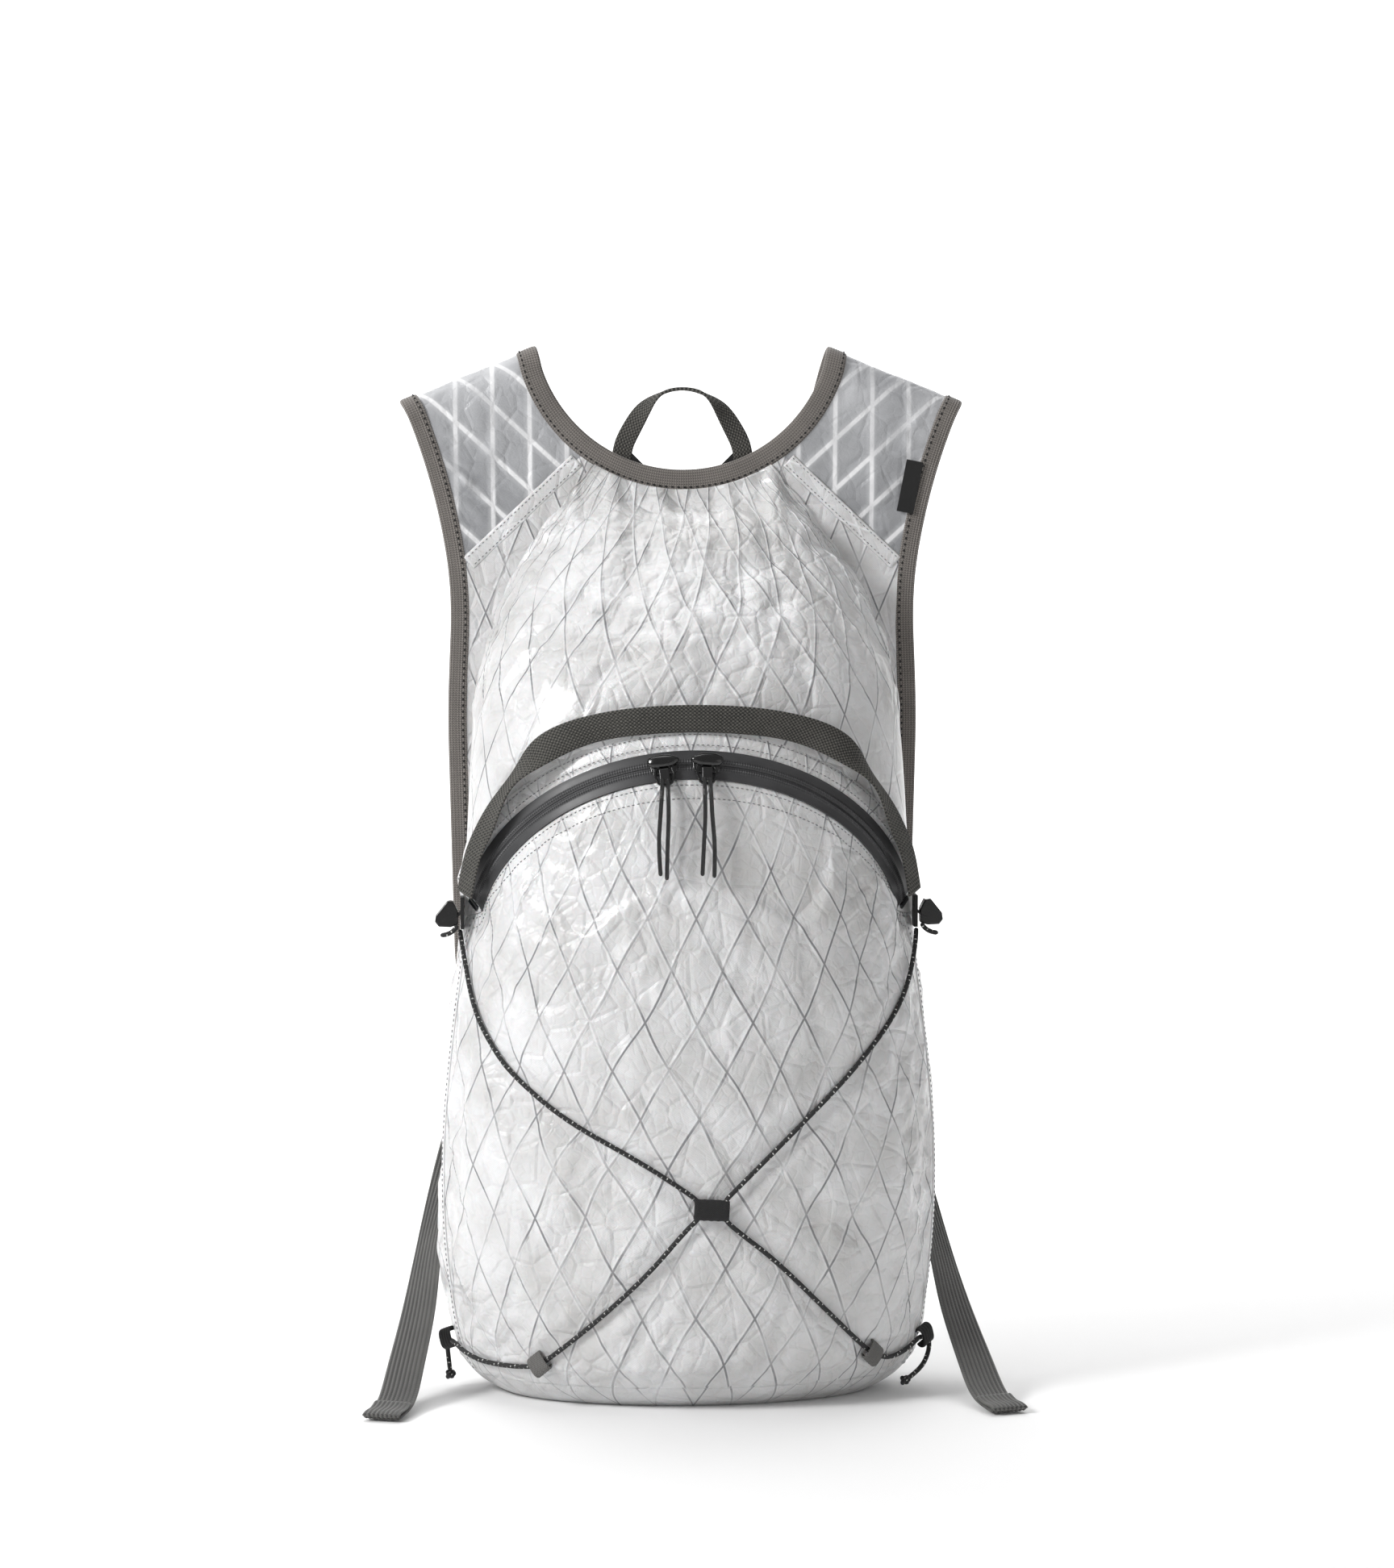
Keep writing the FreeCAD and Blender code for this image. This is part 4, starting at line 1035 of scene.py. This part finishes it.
def back_panel():
    rows, cols = 170, 110
    u = np.linspace(-1, 1, cols)
    top = np.full(cols, 470.0)
    for _ in range(8):
        x = np.abs(u * arm_x(top))
        ring = NECK[1] - np.sqrt(np.maximum((NECK_RADIUS + 6) ** 2 - x * x, 1))
        top = np.where(x < 48, ring, np.minimum(ring, 497 - (x - 48) * 66 / 79))
    z = 3 + (top - 3) * np.linspace(0, 1, rows)[:, None]
    x = u * (arm_x(z) - 2)
    bow, fine = film(join(x, 9, z), 55, (0, 0, 0)), film(join(x, 4, z), 16, (0, 0, 0))
    points = join(x, BACK_FACE + 0.8 * bow + 0.35 * fine, z)[:, ::-1]
    piece = panel("back_fabric", points, points[..., [0, 2]], VEST_THICKNESS, WHITE)
    place(piece, "bag", "back_panel")


def spun(x, z, side):
    """Places on the vest's fabric, whose pattern is cut turned so that one yarn runs upright."""
    cos, sin = math.cos(-side * WEAVE_TURN), math.sin(-side * WEAVE_TURN)
    return join(x * cos + z * sin, z * cos - x * sin)


def yoke_points(side, cols):
    """The grey shoulder area, from the slanted seam up to the fold over the shoulder."""
    rows = 90
    v = np.linspace(0, 1, rows)
    inner_r = NECK_RADIUS + NECK_TAPE - 4
    start, end = (math.atan2(z - NECK[1], x) for x, z in (SEAM_INNER, NECK_TOP))
    turn = start + (end - start) * v
    inner = join(inner_r * np.cos(turn), NECK[1] + inner_r * np.sin(turn))
    outer_z = SEAM_OUTER_Z + (shoulder_z(SHOULDER_OUTER, FOLD) - 3 - SEAM_OUTER_Z) * v
    outer = join(arm_x(outer_z) - ARM_TAPE + 4, outer_z)
    u = np.linspace(0, 1, cols)
    flat = inner[:, None] * (1 - u[:, None]) + outer[:, None] * u[:, None]
    x, z = flat[..., 0], flat[..., 1]
    places = join(side * x, 0, z)
    drape, fine = film(places, 30, (3, 1, 4)), film(places, 12, (8, 2, 5))
    pleats = film(places, (14, 14, 5), (5, 5, 5)) * smoothstep(0.66, 0.82, u)
    lift = 1.9 * drape + 1.1 * fine + 2.2 * pleats
    lift = lift * smoothstep(2, 12, np.arange(rows))[:, None] * smoothstep(7, 15, from_edge(cols))
    return join(side * x, YOKE_FACE - np.clip(lift, -0.4, 2.4), z)


# ---------- straps behind
STRAP_X = 58.0
STRAP_TOP = shoulder_z(STRAP_X)
STRAP_END = 232
STRAP_ROWS = 260
NEAR = BACK + 1.0
FAR = NEAR + 2 * FOLD
inner_edge = np.concatenate(
    [
        three_point_arc((80, 556), (66, 500), (60, 440), 40),
        three_point_arc((60, 440), (62, 340), (76, 232), 40)[1:],
    ]
)[::-1]
outer_edge = np.concatenate(
    [
        three_point_arc((158, 532), (130, 480), (117, 400), 40),
        three_point_arc((117, 400), (112, 310), (110, 232), 40)[1:],
    ]
)[::-1]
STRAP_EDGES = {"inner": inner_edge, "outer": outer_edge}


def strap_line(kind, offset, side):
    """A line over the shoulder and down a strap, moved outwards from one of its edges."""
    low = STRAP_TOP - FOLD
    over = three_point_arc((NEAR, low), (NEAR + FOLD, STRAP_TOP), (FAR, low), 24)
    down = three_point_arc((FAR, low), (NEAR + 34, 400), (NEAR + 24, 180), 120)
    depth, height = np.concatenate([over, down[1:]]).T
    edge = STRAP_EDGES[kind]
    x = np.full(len(depth), 100.0)
    for _ in range(12):
        z = height - (x - STRAP_X) * SLOPE
        x = np.interp(z, edge[:, 1], edge[:, 0]) + offset
    line = join(side * x, depth, z)
    return evenly(line[line[:, 2] > STRAP_END], STRAP_ROWS)


def vest_cloth(side, word, yoke):
    """Yoke and shoulder strap: one length of cloth from the slanted seam, over and down behind."""
    cols = yoke.shape[1]
    shares = np.linspace(0, 1, cols)[:, None]
    first, last = strap_line("inner", 8, side), strap_line("outer", -7, side)
    strap = first[:, None] * (1 - shares) + last[:, None] * shares
    lift = film(strap, 26, (1, 1, 1)) + 0.5 * film(strap, 11, (2, 2, 2))
    lift = lift * edge_fade(STRAP_ROWS, cols, 3, 12)
    mirror = np.array((side, 1, 1))
    strap = strap + grid_normals(strap * mirror) * mirror * (0.9 * lift)[..., None]
    points = np.concatenate([yoke, strap[1:]])
    fold = len(yoke)
    join_rows = slice(fold - 8, fold + 8)
    for _ in range(25):
        smoothed = (points[:-2] + 2 * points[1:-1] + points[2:]) / 4
        points[join_rows] = smoothed[join_rows.start - 1 : join_rows.stop - 1]
    along = lengths(points[:, cols // 2])[:, None]
    unrolled = points[fold - 1, :, 2] + along - along[fold - 1]
    unrolled[:fold] = points[:fold, :, 2]
    uvs = spun(points[..., 0], unrolled, side)
    if side < 0:
        points, uvs = points[:, ::-1], uvs[:, ::-1]
    piece = panel(f"vest_fabric_{word}", points, uvs, VEST_THICKNESS, GREY)
    place(piece, "bag", f"yoke_{word}", f"shoulder_strap_{word}")


def yoke_seam(word, yoke):
    """The slanted hem between the yoke and the back panel, sewn twice."""
    seam = yoke[1, 5:-5].copy()
    seam[:, 1] = YOKE_HEM
    across, out = frames(seam, np.tile((0.0, 0.0, 1.0), (len(seam), 1)))
    out = np.where(out[:, 1:2] > 0, -out, out)
    outline = section(8.5, 0.9, steps=12)
    place(sweep(f"yoke_seam_{word}", seam, across, out, outline, HEM), "bag")
    for name, inset in (("upper", 2.6), ("lower", -2.6)):
        line = seam + across * inset + out * 0.42
        stitches(f"yoke_stitches_{word}_{name}", line, out, SEAM_THREAD, width=0.5)


def binding(name, line, hint, width, stitch_side, *nodes):
    """Folded knit tape: ribs along it, and a row of stitches near its inner edge on both faces."""
    both = np.concatenate([line, hint], axis=1)
    both = evenly(both, int(lengths(line)[-1] / 0.9))
    for _ in range(30):
        both[1:-1] = (both[:-2] + 2 * both[1:-1] + both[2:]) / 4
    centre = both[:, :3]
    across, out = frames(centre, unit(both[:, 3:]))
    outline = section(width, 2.9, ribs=8, rib_height=0.1, crown=0.1, steps=56)
    place(sweep(name, centre, across, out, outline, TAPE), "bag", *nodes)
    for face, word in ((-1, "front"), (1, "back")):
        row = centre + across * stitch_side * (width / 2 - 2.1) + out * face * 1.7
        stitches(f"{name}_stitches_{word}", row, out * face, DARK_THREAD, 3.3, 1.6, 1.15)


def neck_binding():
    """One tape: up the left strap's inner edge, round the neckline and down the right strap."""
    radius = NECK_RADIUS + NECK_TAPE / 2
    end = math.atan2(538.0 - NECK[1], 81)
    turn = np.linspace(math.pi - end, 2 * math.pi + end, 360)
    ring = join(radius * np.cos(turn), NEAR, NECK[1] + radius * np.sin(turn))
    left, right = (strap_line("inner", NECK_TAPE / 2, side) for side, _ in SIDES)
    line = np.concatenate([left[:0:-1], ring, right[1:]])
    ends = [np.tile((side, 0, -SLOPE), (STRAP_ROWS - 1, 1)) for side, _ in SIDES]
    hint = np.concatenate([ends[0], join(np.cos(turn), 0, np.sin(turn)), ends[1]])
    binding("neck_tape", line, hint, NECK_TAPE, 1, "neck_binding", "strap_inner_binding_left",
            "strap_inner_binding_right")


def arm_binding(side, word):
    """One tape: up the armhole and down the strap's outer edge."""
    z = np.linspace(205, shoulder_z(SHOULDER_OUTER, FOLD) - 1, 280)
    up = join(side * (arm_x(z) - ARM_TAPE / 2), NEAR, z)
    line = np.concatenate([up, strap_line("outer", -ARM_TAPE / 2, side)[1:]])
    hint = np.tile((side, 0, -SLOPE), (len(line), 1))
    hint[: len(z), 2] = 0
    binding(f"armhole_tape_{word}", line, hint, ARM_TAPE, -1, f"armhole_binding_{word}",
            f"strap_outer_binding_{word}")


back_panel()
neck_binding()
for side, word in SIDES:
    yoke = yoke_points(side, 70)
    arm_binding(side, word)
    vest_cloth(side, word, yoke)
    yoke_seam(word, yoke)


# ---------- zipper and side seams
def zip_tape(name, low, high, node, rows_at):
    """Half of the coated tape, with the coil's teeth standing up as a fine row beside the slit."""
    phi = np.linspace(-ZIP_HALF, ZIP_HALF, 1100)
    w = np.linspace(low, high, 26)
    tooth = 0.5 + 0.5 * np.sin(phi * ZIP_RADIUS / TOOTH_PITCH * 2 * math.pi)
    row = np.exp(-(((w - rows_at) / 0.95) ** 2))[:, None]
    welt = np.exp(-(((w - (high if rows_at > 0 else low)) / 1.1) ** 2))[:, None]
    points = zip_point(phi, w[:, None], 0.42 + row * (0.25 + 0.5 * tooth) + 0.16 * welt)
    uvs = join(phi * ZIP_RADIUS, w[:, None])
    place(panel(name, points, uvs, 0.8, COATED), "bag", node)


zip_tape("zip_tape_top", 0.12, TAPE_HALF, "zipper_tape_upper", TOOTH_ROW)
zip_tape("zip_tape_below", -TAPE_HALF, -0.12, "zipper_tape_lower", -TOOTH_ROW)


def zip_seams():
    """Stitch rows along the fabric on both sides of the zip."""
    phi = np.linspace(-ZIP_HALF, ZIP_HALF, 500)
    for name, across in (("above_near", 10.6), ("above_far", 16.4)):
        out = zip_out(phi, across)
        stitches(f"zip_stitches_{name}", split_line(phi, across) + out, out, SEAM_THREAD)
    for name, row in (("near", -3), ("far", -8)):
        normals = grid_normals(lower_points)[row, FRONT]
        line = lower_points[row, FRONT] + normals * 0.1
        stitches(f"zip_stitches_below_{name}", line, normals, SEAM_THREAD)


def side_seams():
    """The felled side seams, as narrow proud strips."""
    for word, col in (("left", left_seam), ("right", right_seam)):
        line = lower_points[2:-2, col]
        normals = grid_normals(lower_points)[2:-2, col]
        across, out = frames(line, np.cross(normals, unit(np.gradient(line, axis=0))))
        outline = section(4.0, 0.7, steps=10)
        strip = sweep(f"side_seam_{word}", line + normals * 0.15, across, out, outline, HEM)
        place(strip, "bag")
        stitches(f"side_stitches_{word}", line + normals * 0.55, normals, SEAM_THREAD, 2.8, 1.8)


zip_seams()
side_seams()

# ---------- webbing
HAUL_HALF = (
    (0, 48.8, 527, 0, 1, 0),
    (10, 48.8, 525, 0.25, 0.95, -0.1),
    (20, 48.8, 517, 0.8, 0.6, 0),
    (27, 48.8, 506, 1, 0.2, 0.2),
    (31.5, 48.8, 496, 1, 0, 0.3),
    (32.5, 48.8, 485, 1, 0, 0.1),
    (32.5, 48.8, 478, 1, 0, 0),
)
TAIL_LINE = (
    (93.5, 78.4, 203, 1, 0, 0),
    (94, 79.4, 193, 1, 0, 0),
    (96, 79, 184.5, 1, 0, 0),
    (106, 77, 160, 1, 0.1, 0.3),
    (121, 64, 120, 0.9, 0.45, 0.2),
    (135, 35, 76, 0.6, 0.8, 0),
    (142, -4, 42, 0.8, 0.6, 0),
    (149, -40, 17, 0.95, 0.3, 0),
    (154, -64, 4.8, 1, 0.2, 0),
    (160, -83, 2.0, 1, 0.3, 0),
)
LOWER_LINE = (
    (105, 49.2, 52, 1, 0, 0),
    (104.5, 51, 72, 1, 0, 0),
    (99, 62, 130, 1, 0, 0.1),
    (94, 74, 187, 1, 0, 0.1),
    (93.2, 76.6, 201, 1, 0, 0),
)
LOCK_LINE = ((93, 77.6, 206, 1, 0, 0), (93, 77.9, 218, 1, 0, 0), (92.5, 77, 236, 1, 0, 0))
BRIDGE_LINE = (
    (117.6, -17.5, 257, 0, 1, 0), (119.2, -17.5, 253.6, 0, 1, 0),
    (122.6, -17.5, 251.2, 0, 1, 0), (124.5, -17.5, 250.6, 0, 1, 0),
)
HEM_LINE = (
    (154.6, -65.6, 6.2, 1, 0.2, 0), (157.0, -73.6, 4.6, 1, 0.25, 0),
    (160.2, -83.6, 3.9, 1, 0.3, 0), (160.7, -85.2, 3.3, 1, 0.3, 0),
)
HAUL_PATCH = ((-38, 493), (-27, 493), (-18, 484), (18, 484), (27, 493), (38, 493))
PATCH_LOW = 476
STRAP_WEB = section(20, 1.6, 9, 0.2)
MIRRORED = (-1, 1, 1, -1, 1, 1)


def both_ways(half):
    return [*(np.array(half[:0:-1]) * MIRRORED), *half]


def webbing(name, stations, outline, material, mirror=1, step=0.9):
    """Flat webbing through stations of a place and the direction of its width."""
    raw = np.array(stations) * (MIRRORED if mirror < 0 else 1)
    fine = spline(raw, int(lengths(raw[:, :3])[-1] / step))
    return sweep(name, fine[:, :3], *frames(fine[:, :3], fine[:, 3:]), outline, material)


def haul_patch():
    """The stitched patch that holds the haul loop to the back of the neckline."""
    corners = np.array(HAUL_PATCH, float)
    x, top = sample(corners, np.linspace(0, 1, len(corners)), np.linspace(0, 1, 80)).T
    v = np.linspace(0, 1, 20)[:, None]
    points = join(x * (1 - 0.12 * (1 - v)), PATCH_FACE, PATCH_LOW + (top - PATCH_LOW) * v)[:, ::-1]
    patch = panel("haul_patch", points, points[..., [0, 2]], 0.9, BLACK_TAPE)
    place(patch, "bag", "haul_loop_base")


def side_webbing(side, word):
    """The strap webbing of one side: tail, lower strap, lock loop, adjuster bridge and hem."""
    tail = webbing(f"tail_{word}", TAIL_LINE, STRAP_WEB, TAIL, side)
    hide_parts(f"strap_tail_{word}")
    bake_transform(tail)
    lower = webbing(f"lower_strap_{word}", LOWER_LINE, STRAP_WEB, TAIL, side)
    place(lower, "bag", f"lower_webbing_{word}")
    tab = webbing(f"lock_loop_{word}", LOCK_LINE, STRAP_WEB, TAIL, side)
    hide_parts(f"lock_tab_{word}")
    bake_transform(tab)
    bridge = section(9.4, 1.3)
    place(webbing(f"adjuster_bridge_{word}", BRIDGE_LINE, bridge, BLACK_TAPE, side, 0.5), "bag")
    place(webbing(f"tail_hem_{word}", HEM_LINE, STRAP_WEB, TAIL, side), f"tail_{word}")


handle = webbing("handle", both_ways(HANDLE_HALF), section(15, 1.6, 8, 0.14), HANDLE)
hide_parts("front_handle", "handle_end_left", "handle_end_right")
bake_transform(handle)
haul = webbing("haul", both_ways(HAUL_HALF), section(10.5, 1.6, 6, 0.12), HANDLE)
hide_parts("haul_loop")
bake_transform(haul)
haul_patch()
for side, word in SIDES:
    side_webbing(side, word)

# ---------- slider bodies
SLIDER_RINGS = (
    # height, half length, half width
    (0.95, 6.4, 4.0), (1.15, 7.0, 4.5), (1.85, 7.0, 4.5), (2.05, 6.5, 4.0), (2.15, 3.0, 1.2),
    (3.2, 3.0, 1.2), (3.35, 6.6, 2.5), (3.8, 8.0, 3.4), (4.5, 8.3, 3.6), (5.2, 8.0, 3.35),
    (5.8, 7.0, 2.8), (6.25, 5.2, 1.9), (6.5, 3.0, 1.0), (6.55, 0.8, 0.3),
)
CAP_FROM = 3


def slider(word, degrees, nose):
    """A zip slider: a plate on the tape under a glossy rounded cap with a pointed nose."""
    phi = np.array(math.radians(degrees))
    origin = zip_point(phi)
    along = unit(zip_point(phi + 1e-3) - zip_point(phi - 1e-3))
    across = unit(zip_point(phi, 1.0) - origin)
    turn = np.linspace(0, 2 * math.pi, 56, endpoint=False)
    cos, sin = np.cos(turn), np.sin(turn)
    rings = []
    for height, long, wide in SLIDER_RINGS:
        power = 0.75 if height > CAP_FROM else 0.45
        x = long * np.sign(cos) * np.abs(cos) ** power
        y = wide * np.sign(sin) * np.abs(sin) ** power
        if height > CAP_FROM:
            y = y * (1 - 0.5 * np.clip(x * nose / 8.3, 0, 1) ** 2) + 1.5
        rings.append(origin + x[:, None] * along + y[:, None] * across + height * zip_out(phi))
    piece = loft(f"slider_cap_{word}", rings, np.array(rings)[..., [0, 2]], PLASTIC)
    place(piece, f"slider_{word}", f"slider_{word}")


slider("left", -8.0, 1)
slider("right", 2.8, -1)

# ---------- cords
SHOCK_CORD = 2.5
SPARE_END = [(121.4, -24.4, 246.5), (123.6, -24.6, 243), (128.5, -24.2, 242.4)]


def pull_tails():
    for word, route in PULL_ROUTES.items():
        piece, path = tube(f"pull_tail_{word}", nurbs_line(route), 2.2, PULL, 14, 0.7)
        place(piece, "pull_" + word.split("_")[0], f"pull_cord_{word}")


def bungee(side, word):
    """The shock cord of one side and its short spare end."""
    piece, _ = tube(f"bungee_{word}", SHOCK_LINES[word], SHOCK_CORD, CORD)
    place(piece, "bag", f"shock_cord_{word}")
    spare = nurbs_line([(side * x, y, z) for x, y, z in SPARE_END])
    piece, _ = tube(f"bungee_end_{word}", spare, SHOCK_CORD, CORD)
    place(piece, "bag")


def knot(word):
    """The small pulled-tight knot at the foot of a shock cord: one and a half turns."""
    low, high = (np.array(v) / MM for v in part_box(f"cord_knot_{word}"))
    turn = float(min(high - low)) / 2 - SHOCK_CORD / 2
    t = np.linspace(0.15, 2 * math.pi * 1.45, 60)
    ring = turn * (0.75 + 0.25 * np.cos(1.5 * t))
    line = (low + high) / 2 + join(ring * np.cos(t), ring * np.sin(t), turn * 0.75 * np.sin(1.5 * t))
    piece, _ = tube(f"bungee_knot_{word}", line, SHOCK_CORD, CORD, 10, 0.6)
    place(piece, "bag", f"cord_knot_{word}")


def tape_loop(name, node, middle, turn, tilt, width, ring, material):
    """A short tape wrapped round a cord: its width runs along the cord, its ring stands across."""
    spin, lean = math.radians(turn), math.radians(tilt)
    side = np.array((math.cos(spin), math.sin(spin), 0))
    out = np.array((math.sin(spin), -math.cos(spin), 0))
    up = np.array((0, 0, 1.0))
    along = side * math.cos(lean) + up * math.sin(lean)
    rise = up * math.cos(lean) - side * math.sin(lean)
    depth, height = ring
    angles = np.linspace(-1.02, math.pi + 1.02, 70)
    stretch = np.sign(np.cos(angles)) * np.abs(np.cos(angles)) ** 0.6
    path = middle + depth * np.sin(angles)[:, None] * out + (height * stretch)[:, None] * rise
    across, face = frames(path, np.tile(along, (len(path), 1)))
    place(sweep(name, path, across, face, section(width, 1.1, 5, 0.1), material), "bag", node)


GUIDE, ANCHOR = (10.5, (2.3, 5.2), GREY_TAPE), (9.5, (2.6, 5.0), BLACK_TAPE)
LOOPS = (
    # piece, CAD piece, middle, turn, tilt; then width, half depth and half height, material
    ("cord_loop_left_tape", "cord_loop_left", (-79.5, -59.2, 24.2), -36, 38, *GUIDE),
    ("cord_loop_right_tape", "cord_loop_right", (92.9, -52.7, 26.8), 42, -38, *GUIDE),
    ("keeper_tape", "cord_keeper", (7.2, -91.1, 108), 0, -3, 18, (2.1, 4.9), BLACK_TAPE),
    ("corner_anchor_left_tape", "corner_anchor_left", (-125.9, -4.0, 28.0), -48, 20, *ANCHOR),
    ("corner_anchor_right_tape", "corner_anchor_right", (123.6, -18.5, 29.5), 48, 20, *ANCHOR),
)
pull_tails()
for side, word in SIDES:
    bungee(side, word)
for _, word in SIDES:
    knot(word)
for loop in LOOPS:
    tape_loop(*loop)

# ---------- CAD pieces kept as they are
HARD = [f"{name}_{word}" for name in ("pull_ring", "cord_adjuster", "ladder_lock")
        for _, word in SIDES]
CARRIED = (
    (PLASTIC, HARD),
    (COIL, ["zipper_coil_upper", "zipper_coil_lower", "zipper_end_stops"]),
    (PULL, ["pull_knot_left", "pull_knot_right"]),
    (BLACK_TAPE, ["label_tab", "adjuster_tab_left", "adjuster_tab_right"]),
)
for material, names in CARRIED:
    for name in names:
        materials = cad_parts[name].data.materials
        materials.clear()
        materials.append(material)


# ---------- stage, light and camera
def stage():
    """A pale floor that curves up into a pale wall well behind the bag."""
    bend, near, radius = 12, 1.6, 0.8
    turns = [math.radians(90 * step / bend) for step in range(1, bend + 1)]
    curve = [(near + radius * math.sin(t), radius - radius * math.cos(t)) for t in turns]
    depth = [(-3.0, 0), (near, 0), *curve, (near + radius, 4.0)]
    verts = [(x, y, z) for y, z in depth for x in (-4.0, 4.0)]
    faces = [(2 * i, 2 * i + 1, 2 * i + 3, 2 * i + 2) for i in range(len(depth) - 1)]
    mesh = bpy.data.meshes.new("studio_floor")
    mesh.from_pydata(verts, [], faces)
    mesh.polygons.foreach_set("use_smooth", [True] * len(faces))
    n = Nodes("studio_paper")
    mesh.materials.append(n.finish(n.mix(n.noise(2.0, 2), rgb(0.92), rgb(0.94)), 0.9))
    link("studio_floor", mesh)


def area_light(name, place, target, size, power, color=(1, 1, 1)):
    data = bpy.data.lights.new(name, "AREA")
    data.shape = "RECTANGLE"
    data.size, data.size_y = size
    data.energy = power
    data.color = color
    obj = link(name, data)
    obj.location = place
    obj.rotation_euler = (Vector(target) - Vector(place)).to_track_quat("-Z", "Y").to_euler()


stage()
area_light("key", (-1.9, -1.1, 1.5), (0, 0, 0.28), (0.7, 0.7), 48)
area_light("fill", (1.8, -1.9, 0.9), (0, 0, 0.25), (1.6, 1.6), 4.5, (1.0, 0.98, 0.96))
area_light("top", (-0.3, 0.3, 2.3), (0, 0.1, 0.0), (1.5, 1.2), 13)
area_light("wall", (0, 1.2, 2.2), (0, 2.4, 1.0), (3.0, 1.0), 60)

scene = bpy.context.scene
scene.view_settings.view_transform = "Standard"
scene.world = bpy.data.worlds.new("studio")
scene.world.use_nodes = True
color, strength = scene.world.node_tree.nodes["Background"].inputs[:2]
color.default_value = rgb(1)
strength.default_value = 0.34

CAMERA_PITCH = math.radians(3.5)
CAMERA_YAW = math.radians(-3.3)
CAMERA_AWAY = 2.3
CAMERA_TARGET = Vector((0.005, 0.0, 0.319))
FRAME_HEIGHT = 0.8228
lens = bpy.data.cameras.new("camera")
camera = link("camera", lens)
lens.sensor_fit = "VERTICAL"
lens.sensor_height = 24
lens.lens = lens.sensor_height * CAMERA_AWAY / FRAME_HEIGHT
level = math.cos(CAMERA_PITCH)
way = Vector((math.sin(CAMERA_YAW) * level, -math.cos(CAMERA_YAW) * level, math.sin(CAMERA_PITCH)))
camera.location = CAMERA_TARGET + way * CAMERA_AWAY
camera.rotation_euler = (-way).to_track_quat("-Z", "Y").to_euler()
scene.camera = camera
